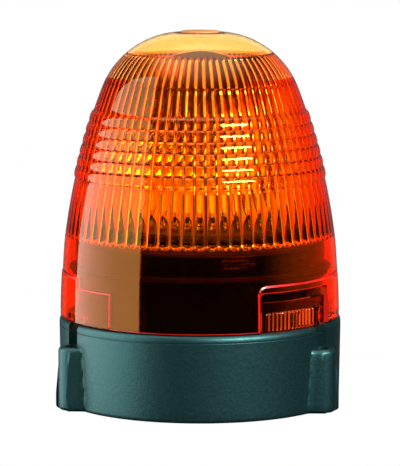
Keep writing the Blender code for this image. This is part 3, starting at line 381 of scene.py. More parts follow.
def polar_rings(rows, columns):
    """A closed bmesh of rings about Z.

    A row is a radius and a height, or a function that gives them for an angle in degrees.
    """
    shape = bmesh.new()
    rings = []
    step = 360.0 / columns
    for row in rows:
        if callable(row):
            points = [row(index * step) for index in range(columns)]
        elif row[0] < ON_AXIS:
            rings.append([shape.verts.new((0, 0, row[1]))])
            continue
        else:
            points = [row] * columns
        ring = []
        for index, (radius, z) in enumerate(points):
            angle = math.radians(index * step + FRONT)
            ring.append(shape.verts.new((radius * math.cos(angle), radius * math.sin(angle), z)))
        rings.append(ring)
    for lower, upper in zip(rings, rings[1:] + rings[:1]):
        if len(lower) == 1 and len(upper) == 1:
            continue
        for index in range(columns):
            after = (index + 1) % columns
            corners = [lower[index % len(lower)], lower[after % len(lower)]]
            corners += [upper[after % len(upper)], upper[index % len(upper)]]
            shape.faces.new(list(dict.fromkeys(corners)))
    return shape


def rounded(outline, radius, steps=4):
    """A closed outline with every corner off the axis rounded, as far as its edges allow."""
    result = []
    count = len(outline)
    for index, point in enumerate(outline):
        before, after = Vector(outline[index - 1]), Vector(outline[(index + 1) % count])
        here = Vector(point)
        if here.x < ON_AXIS:
            result.append(tuple(here))
            continue
        to_before, to_after = before - here, after - here
        reach = min(radius, 0.45 * to_before.length, 0.45 * to_after.length)
        start, end = here + to_before.normalized() * reach, here + to_after.normalized() * reach
        for step in range(steps + 1):
            t = step / steps
            result.append(tuple((1 - t) ** 2 * start + 2 * t * (1 - t) * here + t**2 * end))
    return result


def prism_shape(outline, bottom, top):
    """An upright prism over the outline."""
    shape = bmesh.new()
    low = [shape.verts.new((x, y, bottom)) for x, y in outline]
    high = [shape.verts.new((x, y, top)) for x, y in outline]
    shape.faces.new(low[::-1])
    shape.faces.new(high)
    for index in range(len(outline)):
        after = (index + 1) % len(outline)
        shape.faces.new([low[index], low[after], high[after], high[index]])
    return shape


def helper(shape):
    """A shape to cut or join with: it is taken out of the scene once it has been used."""
    bmesh.ops.recalc_face_normals(shape, faces=shape.faces)
    mesh = bpy.data.meshes.new("cutter")
    shape.to_mesh(mesh)
    shape.free()
    made = bpy.data.objects.new("cutter", mesh)
    bpy.context.scene.collection.objects.link(made)
    return made


def boolean(target, operation, helpers):
    """Join or cut the target with each helper, and remove the helpers."""
    for tool in helpers:
        change = target.modifiers.new("boolean", "BOOLEAN")
        change.operation = operation
        change.solver = "EXACT"
        change.object = tool
    bpy.context.view_layer.update()
    graph = bpy.context.evaluated_depsgraph_get()
    result = bpy.data.meshes.new_from_object(target.evaluated_get(graph), depsgraph=graph)
    target.modifiers.clear()
    old = target.data
    result.name = old.name
    target.data = result
    bpy.data.meshes.remove(old)
    for tool in helpers:
        bpy.data.objects.remove(tool)


def drill(radius, low, high, centre=(0, 0), sides=32):
    """An upright round bar."""
    outline = []
    for side in range(sides):
        angle = math.tau * (side + DRILL_PHASE) / sides
        outline.append((centre[0] + radius * math.cos(angle), centre[1] + radius * math.sin(angle)))
    return prism_shape(outline, low, high)


def drills(radius, low, high, circle, bearings, sides=32):
    """Helpers for one upright bar at each bearing on the circle. The numbers are in mm."""
    places = [at(circle * MM, bearing) for bearing in bearings]
    return [helper(drill(radius * MM, low * MM, high * MM, place, sides)) for place in places]


# ------------------------------------------------------------------ housing

HOUSING_COLUMNS = 720
SKIRT_FOOT_Z = 0.4 * MM
SKIRT_INNER_R = 60.7 * MM
LUG_TOP_Z = 29.2 * MM
CHANNEL_HALF = 4.0 * MM
CHANNEL_FLOOR_R = 59.9 * MM
LUG_REACH_DEG = 9.0
LUG_NOSE_R = 6.37 * MM
LUG_FILLET = 2.2 * MM
LUG_FLANK_SLOPE = 1.5
POCKET_DEPTH = 3.1 * MM
FOOT_ROUND = 1.8 * MM
LUG_TOP_ROUND = 1.9 * MM
PLATE_POSTS = (56, (0, 120, 240))  # circle in mm, and bearings
CHASSIS_POSTS = (47.5, (60, 150, 285))
# Radius and height in mm.
RIM = [
    (64.86, 35.55), (64.55, 35.75), (64.50, 36.0), (64.80, 36.2), (64.85, 36.8), (64.75, 37.6),
    (64.45, 38.4), (63.9, 39.05), (63.2, 39.42), (62.4, 39.56), (61.0, 39.6),
]
DRUM_SIDE = [
    (60.0, 39.6), (57.9, 39.6), (57.3, 39.9), (57.2, 40.5), (57.2, 59.6), (57.5, 60.0), (59.0, 60.3),
    (59.0, 61.7), (57.2, 61.7),
]
DRUM_RIDGES = (68.4, 70.0, 71.6)
DRUM_DECK = [
    (57.2, 72.6), (57.05, 73.4), (56.6, 74.1), (55.9, 74.45), (55.0, 74.5),
    (51.5, 74.5), (51.2, 74.1), (50.8, 74.1), (50.5, 74.5),
    (38.0, 74.5), (37.7, 74.1), (37.3, 74.1), (37.0, 74.5),
    (18.0, 74.5), (17.2, 74.2), (17.0, 73.6), (17.0, 72.0), (54.7, 72.0), (54.7, 36.6),
]
ON_HOUSING, ON_DRUM, ON_DECK = range(3)


def skirt_radius(z):
    """The skirt's outer radius: it leans out slightly to the crease under the rim."""
    lean = 64.26 * MM + 0.6 * MM * (z / (36.0 * MM))
    return min(lean, 64.86 * MM)


def off_lug(angle):
    """The angle, in radians, from the nearest lug."""
    offset = min(((angle - bearing + 180) % 360 - 180 for bearing in LUG_BEARINGS), key=abs)
    return math.radians(offset)


def lug_radius(angle, z, shrink):
    """How far out a lug reaches: a round nose with flanks that flare into the skirt."""
    offset = off_lug(angle)
    across = SCREW_CIRCLE_R * math.sin(offset)
    nose = LUG_NOSE_R - shrink
    inside = nose**2 - across**2
    reach = -1.0
    if inside > 0:
        reach = SCREW_CIRCLE_R * math.cos(offset) + math.sqrt(inside)
    flare = (1.7 + 1.9 * (1 - z / LUG_TOP_Z)) * MM
    slope_start = nose + flare
    sloped = 64.4 * MM + (slope_start - abs(across)) * LUG_FLANK_SLOPE - shrink
    if abs(across) < slope_start:
        cap = SCREW_CIRCLE_R + nose - 0.4 * MM
        reach = max(reach, min(sloped, cap) if abs(across) > 0.75 * nose else reach)
    return reach


def skirt_row(z, shrink=0.0, inset=0.0):
    """The skirt and its lugs. The lugs are smaller by shrink, and the skirt by inset."""

    def row(angle):
        body = skirt_radius(z) - inset
        reach = lug_radius(angle, z, shrink)
        return (smooth_max(body, reach, LUG_FILLET) if reach > 0 else body, z)

    return row


def channel_row(z, radius):
    """The wall above the lugs, with a screwdriver channel over each."""

    def row(angle):
        offset = off_lug(angle)
        across = abs(radius * math.sin(offset))
        if abs(offset) > math.radians(LUG_REACH_DEG):
            return (radius, z)
        depth = smooth_step(CHANNEL_HALF + 0.35 * MM, CHANNEL_HALF - 0.35 * MM, across)
        return (radius + (CHANNEL_FLOOR_R - radius) * depth, z)

    return row


def pocket_row(z):
    """The inside of the skirt, with a pocket wall behind each lug's channel."""

    def row(angle):
        across = abs(SKIRT_INNER_R * math.sin(off_lug(angle)))
        if abs(off_lug(angle)) > math.radians(LUG_REACH_DEG):
            return (SKIRT_INNER_R, z)
        return (SKIRT_INNER_R - POCKET_DEPTH * smooth_step(6.6 * MM, 6.0 * MM, across), z)

    return row


def bayonet(heights_mm, radii_mm):
    """A block for each bayonet lug or hook."""
    low, high = (height * MM for height in heights_mm)
    radii = [radius * MM for radius in radii_mm]
    blocks = []
    for bearing in BAYONET_BEARINGS:
        ends = (bearing - BAYONET_HALF_DEG, bearing + BAYONET_HALF_DEG)
        blocks.append(helper(curved_window(ends, low, high, BAYONET_CORNER, radii)))
    return blocks


def skirt_rows():
    """The outside of the skirt, from its rounded foot to the round tops of its lugs."""
    rows = [skirt_row(SKIRT_FOOT_Z, 1.6 * MM, 0.8 * MM)]
    for step in range(1, 6):
        turn = math.radians(90 * step / 5)
        gap = 1 - math.sin(turn)
        z = SKIRT_FOOT_Z + FOOT_ROUND * (1 - math.cos(turn))
        rows.append(skirt_row(z, 1.6 * MM * gap, 0.8 * MM * gap))
    for step in range(1, 9):
        rows.append(skirt_row(SKIRT_FOOT_Z + FOOT_ROUND + (LUG_TOP_Z - 3.9 * MM - SKIRT_FOOT_Z) * step / 9))
    for step in range(7):
        turn = math.radians(90 * step / 6)
        z = LUG_TOP_Z - LUG_TOP_ROUND + LUG_TOP_ROUND * math.sin(turn)
        rows.append(skirt_row(z, LUG_TOP_ROUND * (1 - math.cos(turn))))
    return rows


def make_housing():
    """The base moulding: skirt, lugs, rim, drum and deck, and the posts and hooks inside."""
    rows = [(SKIRT_INNER_R, SKIRT_FOOT_Z)] + skirt_rows()
    rows.append(channel_row(LUG_TOP_Z + 0.02 * MM, skirt_radius(LUG_TOP_Z)))
    for z in (31.5, 33.5, 35.0):
        rows.append(channel_row(z * MM, skirt_radius(z * MM)))
    for radius, z in RIM:
        rows.append(channel_row(z * MM, radius * MM))
    ridges = []
    for z in DRUM_RIDGES:
        ridges += [(57.2, z - 0.4), (57.35, z), (57.2, z + 0.4)]
    rows += [(radius * MM, z * MM) for radius, z in DRUM_SIDE + ridges + DRUM_DECK]
    rows += [pocket_row(36.6 * MM), pocket_row(6.3 * MM), (SKIRT_INNER_R, 6.0 * MM)]
    shape = polar_rings(rows, HOUSING_COLUMNS)
    finishes = [HOUSING, DRUM, DECK]
    made = add_piece("base_moulding", shape, finishes, "base", ["housing"], MOULDING_SHARP)
    for face in made.data.polygons:
        if face.center.z > 39.62 * MM and face.center.xy.length < 60 * MM:
            face.material_index = ON_DECK if face.center.z > 73 * MM else ON_DRUM
    added = bayonet(*BAYONET_HOOKS)
    added += drills(4.0, 5.4, 37.5, *PLATE_POSTS)
    added += drills(3.6, 57.8, 73.5, *CHASSIS_POSTS)
    boolean(made, "UNION", added)
    for face in made.data.polygons:
        if 44.3 * MM < face.center.z < 47.1 * MM and face.center.xy.length > 57 * MM:
            face.material_index = ON_DRUM
    holes = drills(3.3, -2, 35, SCREW_CIRCLE_R / MM, LUG_BEARINGS, 40)
    holes += drills(1.9, 3, 18, *PLATE_POSTS, 20)
    holes += drills(1.7, 55, 67, *CHASSIS_POSTS, 20)
    boolean(made, "DIFFERENCE", holes)
    made.data.set_sharp_from_angle(angle=math.radians(MOULDING_SHARP))


# ------------------------------------------------------------------ lens

RIB_COUNT = 72
COLUMNS_PER_RIB = 8
LENS_COLUMNS = RIB_COUNT * COLUMNS_PER_RIB
RIB_FOOT_Z = 77.0 * MM
RIB_HEAD_Z = 160.3 * MM
RIB_DEPTH = 1.25 * MM
BODY_WALL = 2.3 * MM
DOME_WALL = 1.7 * MM
STEP_Z = 147.0 * MM
DOME_FOOT_Z = 149.6 * MM
BAND_LOW, BAND_HIGH = 103.5 * MM, 133.7 * MM
BAND_RIDGES = 6
RIDGE_HEIGHT = 0.85 * MM
RIDGE_LEVELS = 9
GATE_HEIGHT = 0.5 * MM
GATE = [(9.0, -0.02), (8.9, 0.3), (8.5, 0.5), (4.0, 0.5)]  # radius, and height over the dome, in mm
GATE_CLEAR_R = 9.2 * MM
SKIN_SHARE = 0.4  # a face this much of the wall under the outer skin is on the inside


def flank_lean():
    """The flank's lean at the shoulder, in radians."""
    return math.asin((SHOULDER_Z - LENS_FOOT_Z) / FLANK_ARC_R)


def shoulder_radius():
    """The radius of the arc from the shoulder to the top, which meets the flank smoothly."""
    return (LENS_TOP_Z - SHOULDER_Z) / (1 - math.sin(flank_lean()))


def lens_point(z, inset=0.0):
    """The lens outline at the height z before the inset, which goes along the surface's normal."""
    middle_r = LENS_FOOT_R - FLANK_ARC_R
    if z <= SHOULDER_Z:
        angle = math.asin((z - LENS_FOOT_Z) / FLANK_ARC_R)
        reach, centre = FLANK_ARC_R - inset, (middle_r, LENS_FOOT_Z)
    else:
        lean = flank_lean()
        arc = shoulder_radius()
        centre_z = LENS_TOP_Z - arc
        angle = math.asin(min(1.0, (z - centre_z) / arc))
        joint_r = middle_r + FLANK_ARC_R * math.cos(lean)
        reach, centre = arc - inset, (joint_r - arc * math.cos(lean), centre_z)
    return centre[0] + reach * math.cos(angle), centre[1] + reach * math.sin(angle)


def band_relief(z):
    """The horizontal prism ridges on the outside: six round ridges above a ledge."""
    if not BAND_LOW < z < BAND_HIGH:
        return 0.0
    place = (z - BAND_LOW) / (BAND_HIGH - BAND_LOW) * BAND_RIDGES
    across = 2 * (place % 1.0) - 1
    return RIDGE_HEIGHT * math.sqrt(max(0.0, 1 - across**2)) ** 0.8


COLUMN = 360 / LENS_COLUMNS
FRAME_LEFT = 42.5 * COLUMN  # the latch frame's left edge
FRAME_TOP_Z = 60.1 * MM
FRAME_CORNER = 4.0 * MM
PAD_RIGHT = -58.5 * COLUMN  # the smooth pad's right edge, on the other side
PAD_TOP_Z = 55.8 * MM
REAR_FRAME = (84.5, -91.5 * COLUMN)  # where each side's raised area ends, towards the back
PAD_LEFT, LEFT_FRAME_START = -82.0, -150.0
RELIEF = 0.35 * MM
RELIEF_EDGE = 0.3 * MM
RELIEF_TOP_Z = 76 * MM  # the skirt sinks to its full relief between these two heights
RELIEF_FULL_Z = 60.5 * MM
# The painted edge glow lines round the raised frames: their half-width, and the height they stop at.
EDGE_GLOW_LINE = 0.24 * MM
EDGE_GLOW_TOP_Z = 62 * MM


def inside_frame(bearing, z):
    """How far a point of the lens foot is inside its raised frames, in metres; negative outside them."""
    bearing = (bearing + 180) % 360 - 180
    arc = math.radians(1) * LENS_FOOT_R
    across, up = (bearing - FRAME_LEFT) * arc, FRAME_TOP_Z - z
    reach = min(across, up)
    if across < FRAME_CORNER and up < FRAME_CORNER:
        reach = FRAME_CORNER - math.hypot(FRAME_CORNER - across, FRAME_CORNER - up)
    right = min(reach, (REAR_FRAME[0] + 2 * COLUMN - bearing) * arc)
    pad = min((PAD_RIGHT - bearing) * arc, PAD_TOP_Z - z, (bearing - PAD_LEFT) * arc)
    left = min((REAR_FRAME[1] - bearing) * arc, up, (bearing - LEFT_FRAME_START) * arc)
    return max(right, pad, left)


def foot_relief(angle, z):
    """The raised frame round the thumb latch, and the smooth pad and its frame on the other side."""
    return RELIEF * smooth_step(-RELIEF_EDGE, RELIEF_EDGE, inside_frame(angle, z))


def lens_outer_row(z):
    def row(angle):
        radius, height = lens_point(z, -band_relief(z))
        if z < RELIEF_TOP_Z:
            radius += foot_relief(angle, z) - RELIEF * smooth_step(RELIEF_TOP_Z, RELIEF_FULL_Z, z)
        return radius, height

    return row


def rib_relief(angle, z):
    """How far a rib stands in from the inner wall, with round ends."""
    across = 2 * ((angle / 360 * RIB_COUNT) % 1.0) - 1
    width = math.pi * lens_point(z)[0] / RIB_COUNT
    end = max(0.0, (RIB_FOOT_Z + width - z) / width, (z - RIB_HEAD_Z + width) / width)
    return RIB_DEPTH * math.sqrt(max(0.0, 1 - across**2 - end**2))


def lens_inner_row(z):
    def row(angle):
        wall = DOME_WALL + (BODY_WALL - DOME_WALL) * smooth_step(STEP_Z + 0.3 * MM, STEP_Z - 0.3 * MM, z)
        return lens_point(z, wall + rib_relief(angle, z))

    return row


def heights(*spans):
    """Heights from spans of (low, high, steps), each without its last height."""
    return [low + (high - low) * step / steps for low, high, steps in spans for step in range(steps)]


def curved_window(bearings, low, high, corner, radii, steps=8, spans=24):
    """A block through the wall: a sector whose two upper corners are round."""
    left, right = bearings
    degree = math.radians(1) * LENS_FOOT_R
    turn = corner / degree
    outline = [(left, low), (left, high - corner)]
    for step in range(1, steps + 1):
        angle = math.radians(90 * step / steps)
        outline.append((left + turn * (1 - math.cos(angle)), high - corner + corner * math.sin(angle)))
    for step in range(1, spans):
        outline.append((left + turn + (right - left - 2 * turn) * step / spans, high))
    for step in range(steps + 1):
        angle = math.radians(90 * step / steps)
        outline.append((right - turn + turn * math.sin(angle), high - corner + corner * math.cos(angle)))
    outline.append((right, low))
    for step in range(1, spans):
        outline.append((right - (right - left) * step / spans, low))
    shape = bmesh.new()
    inner = [shape.verts.new(at(radii[0], bearing, z)) for bearing, z in outline]
    outer = [shape.verts.new(at(radii[1], bearing, z)) for bearing, z in outline]
    shape.faces.new(inner)
    shape.faces.new(outer[::-1])
    for index in range(len(outline)):
        after = (index + 1) % len(outline)
        shape.faces.new([inner[index], inner[after], outer[after], outer[index]])
    bmesh.ops.triangulate(shape, faces=[face for face in shape.faces if len(face.verts) > 4])
    return shape


WINDOW = (27.4, 66.6)  # bearings of the latch's window
WINDOW_TOP_Z = 57.2 * MM


def lens_finish(point):
    """The finish at a point of the lens's surface, as its place in LENS_FINISHES."""
    z, radius = point.z, point.xy.length
    depth = lens_point(min(z, LENS_TOP_Z - 0.01 * MM))[0] - radius
    if z > LENS_TOP_Z - 0.01 * MM:
        return ON_GATE
    inside = depth > SKIN_SHARE * DOME_WALL
    if z > DOME_FOOT_Z:
        if not inside:
            return ON_DOME
        return ON_CROWN if z < RIB_HEAD_Z + 0.3 * MM else ON_LINING
    # The foot face is painted with the red edge glow.
    if z < LENS_FOOT_Z + 0.2 * MM:
        return ON_EDGE_GLOW
    if inside:
        return ON_RIBS if z > RIB_FOOT_Z - 0.4 * MM else ON_SKIN
    bearing = math.degrees(math.atan2(point.y, point.x)) - FRONT
    # Thin painted edge glow lines along the raised frames' borders.
    on_glow_line = z < EDGE_GLOW_TOP_Z and abs(inside_frame(bearing, z)) < EDGE_GLOW_LINE
    return ON_EDGE_GLOW if on_glow_line else ON_SKIN


def lens_outer_heights():
    ridge_step = (BAND_HIGH - BAND_LOW) / BAND_RIDGES
    levels = heights(
        (LENS_FOOT_Z + 0.3 * MM, 55.0 * MM, 10),
        (55.0 * MM, 61.5 * MM, 14),
        (61.5 * MM, 103.0 * MM, 20),
    )
    levels += [103.35 * MM]
    for ridge in range(BAND_RIDGES):
        low = BAND_LOW + ridge * ridge_step
        for step in range(RIDGE_LEVELS):
            share = (1 - math.cos(math.pi * (step + 0.25) / RIDGE_LEVELS)) / 2
            levels.append(low + ridge_step * share)
    levels += heights((134.0 * MM, SHOULDER_Z, 5), (SHOULDER_Z, 160.0 * MM, 12))
    levels += [LENS_TOP_Z - 9.5 * MM * (1 - step / 14) ** 2 for step in range(14)]
    return levels


def lens_inner_heights():
    levels = heights(
        (LENS_FOOT_Z, RIB_FOOT_Z - 0.4 * MM, 8),
        (RIB_FOOT_Z - 0.4 * MM, RIB_FOOT_Z + 3.2 * MM, 12),
        (RIB_FOOT_Z + 3.2 * MM, STEP_Z - 0.5 * MM, 26),
        (STEP_Z - 0.5 * MM, STEP_Z + 0.5 * MM, 3),
        (STEP_Z + 0.5 * MM, RIB_HEAD_Z - 2.4 * MM, 5),
        (RIB_HEAD_Z - 2.4 * MM, RIB_HEAD_Z + 0.3 * MM, 9),
        (RIB_HEAD_Z + 0.3 * MM, LENS_TOP_Z - 4 * MM, 8),
    )
    return levels + [LENS_TOP_Z - 4 * MM * (1 - step / 8) ** 2 for step in range(8)]


def make_lens():
    """The shell, from its foot up the outside to the gate mark, and down the ribbed inside."""
    foot = LENS_FOOT_Z
    rows = [lens_point(foot + 0.05 * MM, 0.35 * MM)]
    rows += [row for row in map(lens_outer_row, lens_outer_heights()) if row(0)[0] > GATE_CLEAR_R]
    rows += [(radius * MM, LENS_TOP_Z + z * MM) for radius, z in GATE]
    rows += [(0.0, LENS_TOP_Z + GATE_HEIGHT), (0.0, LENS_TOP_Z - DOME_WALL)]
    rows += [lens_inner_row(z) for z in lens_inner_heights()][::-1]
    shape = polar_rings(rows, LENS_COLUMNS)
    made = add_piece("lens_shell", shape, LENS_FINISHES, "lens", ["lens"], MOULDING_SHARP)
    for face in made.data.polygons:
        face.material_index = lens_finish(face.center)
    cutter = helper(curved_window(WINDOW, foot - 3 * MM, WINDOW_TOP_Z, 2.0 * MM, (57 * MM, 69 * MM)))
    for finish in LENS_FINISHES:
        cutter.data.materials.append(finish)
    # The window's sides are painted with the red edge glow.
    for face in cutter.data.polygons:
        face.material_index = ON_EDGE_GLOW
    boolean(made, "UNION", bayonet(*BAYONET_LUGS))
    boolean(made, "DIFFERENCE", [cutter])
    made.data.set_sharp_from_angle(angle=math.radians(MOULDING_SHARP))


# ------------------------------------------------------------------ thumb latch

LATCH_FIRST, LATCH_LAST, LATCH_PAD_END = 27.85, 63.0, 57.8  # bearings of the tongue and its thumb pad
LATCH_TOP_Z, LATCH_PAD_TOP_Z = 53.1 * MM, 48.6 * MM
LATCH_INNER_R = LENS_FOOT_R - 2.5 * MM
LATCH_OUTER_R = LENS_FOOT_R - 0.3 * MM
LATCH_RIBS = 15
COLUMNS_PER_LATCH_RIB = 8
LATCH_GROOVE = 0.75 * MM
LATCH_RIB_HEIGHT = 1.0 * MM
LATCH_SHARP = 50


def make_latch():
    """The tongue, with round vertical ribs on its thumb pad."""
    bottom, top, pad_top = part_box("lens_latch")[0].z, LATCH_TOP_Z, LATCH_PAD_TOP_Z
    start = LATCH_FIRST + 1.2
    pad_width = LATCH_PAD_END - start
    columns = LATCH_RIBS * COLUMNS_PER_LATCH_RIB
    bearings = [LATCH_FIRST + 0.4 * step for step in range(3)]
    bearings += [start + pad_width * step / columns for step in range(columns + 1)]
    bearings += [LATCH_LAST - 0.3, LATCH_LAST]
    levels = [bottom, bottom + 0.25 * MM, bottom + 0.6 * MM, bottom + 1.2 * MM, 44 * MM, 46 * MM]
    levels += [pad_top - 0.8 * MM, pad_top - 0.35 * MM, pad_top, pad_top + 0.1 * MM, 50.5 * MM]
    levels += [top - 0.4 * MM, top - 0.12 * MM, top]

    def outer(bearing, z):
        radius = LATCH_OUTER_R - (0.3 * MM if z in (bottom, top) else 0.0)
        if start < bearing < LATCH_PAD_END and bottom < z <= pad_top:
            across = 2 * (((bearing - start) / pad_width * LATCH_RIBS) % 1.0) - 1
            fade = max(0.0, min(1.0, (pad_top - z) / (0.8 * MM), (z - bottom) / (0.6 * MM)))
            rib = LATCH_RIB_HEIGHT * math.sqrt(max(0.0, 1 - across**2)) * math.sqrt(fade)
            radius += rib - LATCH_GROOVE
        return radius

    shape = bmesh.new()
    front = [[shape.verts.new(at(outer(b, z), b, z)) for b in bearings] for z in levels]
    back = [[shape.verts.new(at(LATCH_INNER_R, b, z)) for b in bearings] for z in levels]
    for sheet, flip in ((front, False), (back, True)):
        for lower, upper in zip(sheet, sheet[1:]):
            for index in range(len(bearings) - 1):
                face = [lower[index], lower[index + 1], upper[index + 1], upper[index]]
                shape.faces.new(face[::-1] if flip else face)
    for near, far in ((front[0], back[0]), (front[-1], back[-1])):
        for index in range(len(bearings) - 1):
            shape.faces.new([near[index], far[index], far[index + 1], near[index + 1]])
    for column in (0, -1):
        for row in range(len(levels) - 1):
            near, far = front[row][column], back[row][column]
            shape.faces.new([near, front[row + 1][column], back[row + 1][column], far])
    add_piece("thumb_latch", shape, [AMBER_LATCH], "latch", ["lens_latch"], LATCH_SHARP)


# ------------------------------------------------------------------ reflector, lamp and rotor

BOWL_STEPS = 26
BOWL_COLUMNS = 144


def make_reflector():
    """The parabolic bowl, with its focus on the filament and a hole that the lamp stands in."""
    focal, bowl_r, lip_r, wall = 20.0 * MM, 38.5 * MM, 40.0 * MM, 1.6 * MM
    radii = [bowl_r * step / BOWL_STEPS for step in range(BOWL_STEPS + 1)]
    bowl = [(radius, focal - radius**2 / (4 * focal)) for radius in radii]
    rim = bowl[-1][1]
    lip = [
        (bowl_r + 0.15 * MM, rim - 0.15 * MM),
        (lip_r - 0.25 * MM, rim - 0.1 * MM),
        (lip_r, rim + 0.2 * MM),
        (lip_r, rim + 1.2 * MM),
        (lip_r - 0.2 * MM, rim + 1.4 * MM),
        (bowl_r - 1.0 * MM, rim + 2.2 * MM),
    ]
    back = [(radius, depth + wall) for radius, depth in bowl[:-1]]
    on_its_side = Matrix.Rotation(math.radians(-90), 4, "X")
    place = turn_to(REFLECTOR_BEARING) @ Matrix.Translation((0, 0, FILAMENT_Z)) @ on_its_side
    shape = polar_rings(bowl + lip + back[::-1], BOWL_COLUMNS)
    made = add_piece("mirror_bowl", shape, [MIRROR], "rotor", ["reflector"], MOULDING_SHARP, place)
    boolean(made, "DIFFERENCE", [helper(drill(13.2 * MM, 70 * MM, 99 * MM, sides=64))])
    made.data.set_sharp_from_angle(angle=math.radians(MOULDING_SHARP))


def turned_piece(name, outline, finish, body, replaced, sides, fillet=0.3 * MM):
    """A piece turned about Z, with every corner of its outline rounded."""
    shape = polar_rings(rounded(outline, fillet), sides)
    return add_piece(name, shape, [finish], body, replaced, MOULDING_SHARP)


def make_rotor_table():
    """The turntable, with a shallow ring in its top and its screw holes."""
    low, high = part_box("turntable")
    bottom, top, radius = low.z, high.z, high.x
    outline = [
        (10.0 * MM, bottom),
        (radius, bottom),
        (radius, top - 0.6 * MM),
        (radius - 0.7 * MM, top),
        (radius - 3.0 * MM, top),
        (radius - 3.4 * MM, top - 0.5 * MM),
        (radius - 16.0 * MM, top - 0.5 * MM),
        (radius - 16.4 * MM, top),
        (10.0 * MM, top),
    ]
    table = turned_piece("rotor_table", outline, BLACK_NYLON, "rotor", ["turntable"], 128)
    holes = drills(1.3, 70, 85, 12.1, (30, 150, 270), 20)
    for side in (-1, 1):
        foot = turn_to(REFLECTOR_BEARING) @ Vector((side * 6.0 * MM, 27.5 * MM, 0))
        holes.append(helper(drill(1.4 * MM, 70 * MM, 85 * MM, foot, 20)))
    boolean(table, "DIFFERENCE", holes)
    table.data.set_sharp_from_angle(angle=math.radians(MOULDING_SHARP))


def make_lamp_glass():
    bottom, wall, outer_r = LAMP_FLANGE_Z + 1.3 * MM, 0.9 * MM, 4.7 * MM
    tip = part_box("lamp_glass")[1].z
    crown = tip - outer_r
    outer = [(outer_r, bottom + (crown - bottom) * step / 4) for step in range(4)]
    inner = [(outer_r - wall, bottom)]
    for step in range(9):
        angle = math.radians(90 * step / 9)
        outer.append((outer_r * math.cos(angle), crown + outer_r * math.sin(angle)))
        inner.append(((outer_r - wall) * math.cos(angle), crown + (outer_r - wall) * math.sin(angle)))
    outline = outer + [(0.0, tip), (0.0, tip - wall)] + inner[::-1]
    add_piece("lamp_envelope", polar_rings(outline, 48), [QUARTZ], "base", ["lamp_glass"])


COIL_TURNS, POINTS_PER_TURN = 9, 12
COIL_LENGTH, COIL_R = 5.0, 0.6  # mm
# The wires up to the coil and down from it, in mm from the filament's middle.
WIRE_UP = [(0, -0.5, -22.6), (0, -0.5, -4.2), (0.2, -0.5, -3.2)]
WIRE_DOWN = [(0.3, -0.5, 3.2), (1.0, 0.0, 3.9), (1.15, 0.6, 3.0), (1.15, 0.8, -4.0), (1.15, 0.8, -22.6)]


def make_filament():
    coil = bpy.data.curves.new("filament_coil", "CURVE")
    coil.dimensions = "3D"
    coil.bevel_depth = 0.14 * MM
    coil.bevel_resolution = 2
    coil.use_fill_caps = True
    points = list(WIRE_UP)
    steps = COIL_TURNS * POINTS_PER_TURN
    for step in range(steps + 1):
        angle = math.tau * step / POINTS_PER_TURN
        height = -COIL_LENGTH / 2 + COIL_LENGTH * step / steps
        points.append((COIL_R * math.sin(angle), -COIL_R * math.cos(angle), height))
    points += WIRE_DOWN
    line = coil.splines.new("POLY")
    line.points.add(len(points) - 1)
    for knot, (x, y, z) in zip(line.points, points):
        knot.co = (x * MM, y * MM, FILAMENT_Z + z * MM, 1)
    coil.materials.append(TUNGSTEN)
    filament = bpy.data.objects.new("filament_coil", coil)
    bpy.context.scene.collection.objects.link(filament)
    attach(filament, "base")
    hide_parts("lamp_filament")


def make_lamp_cap():
    flange = LAMP_FLANGE_Z - 0.8 * MM
    outline = [
        (0, flange - 6.0 * MM),
        (6.5 * MM, flange - 6.0 * MM),
        (6.5 * MM, flange),
        (7.25 * MM, flange),
        (7.25 * MM, LAMP_FLANGE_Z),
        (5.6 * MM, LAMP_FLANGE_Z),
        (5.6 * MM, LAMP_FLANGE_Z + 5.0 * MM),
        (5.0 * MM, LAMP_FLANGE_Z + 5.0 * MM),
        (5.0 * MM, LAMP_FLANGE_Z + 1.0 * MM),
        (0, LAMP_FLANGE_Z + 1.0 * MM),
    ]
    turned_piece("lamp_cap", outline, ZINC, "base", ["lamp_base"], 48, 0.25 * MM)


# ------------------------------------------------------------------ stage, lights and camera

FLOOR_HALF = 3.0


def make_stage():
    """A pale floor that only the camera sees: every other ray passes through it."""
    floor = bmesh.new()
    corners = ((-1, -1), (1, -1), (1, 1), (-1, 1))
    floor.faces.new([floor.verts.new((FLOOR_HALF * x, FLOOR_HALF * y, 0)) for x, y in corners])
    mesh = bpy.data.meshes.new("floor")
    floor.to_mesh(mesh)
    floor.free()
    made, tree, shader = new_material("pale_floor")
    grain = noise(tree, object_space(tree), 30.0, 3.0)
    paper = ramp(tree, grain, [(0.3, (0.995, 0.995, 0.995)), (0.7, (1.0, 1.0, 1.0))])
    tree.links.new(paper, shader.inputs["Base Color"])
    glow = tree.nodes.new("ShaderNodeEmission")
    tree.links.new(paper, glow.inputs["Color"])
    path = tree.nodes.new("ShaderNodeLightPath")
    mix = tree.nodes.new("ShaderNodeMixShader")
    tree.links.new(path.outputs["Is Camera Ray"], mix.inputs["Fac"])
    tree.links.new(tree.nodes.new("ShaderNodeBsdfTransparent").outputs["BSDF"], mix.inputs[1])
    tree.links.new(glow.outputs["Emission"], mix.inputs[2])
    tree.links.new(mix.outputs["Shader"], tree.nodes["Material Output"].inputs["Surface"])
    mesh.materials.append(made)
    ground = bpy.data.objects.new("floor", mesh)
    bpy.context.scene.collection.objects.link(ground)


def world_share(tree, direction, span, low, high):
    """A soft step from low to high as the direction's part runs over the span."""
    node = tree.nodes.new("ShaderNodeMapRange")
    node.interpolation_type = "SMOOTHSTEP"
    for key, value in (("From Min", span[0]), ("From Max", span[1]), ("To Min", low), ("To Max", high)):
        node.inputs[key].default_value = value
    tree.links.new(direction, node.inputs["Value"])
    return node.outputs["Result"]


def combine(tree, operation, a, b):
    node = tree.nodes.new("ShaderNodeMath")
    node.operation = operation
    tree.links.new(a, node.inputs[0])
    tree.links.new(b, node.inputs[1])
    return node.outputs[0]


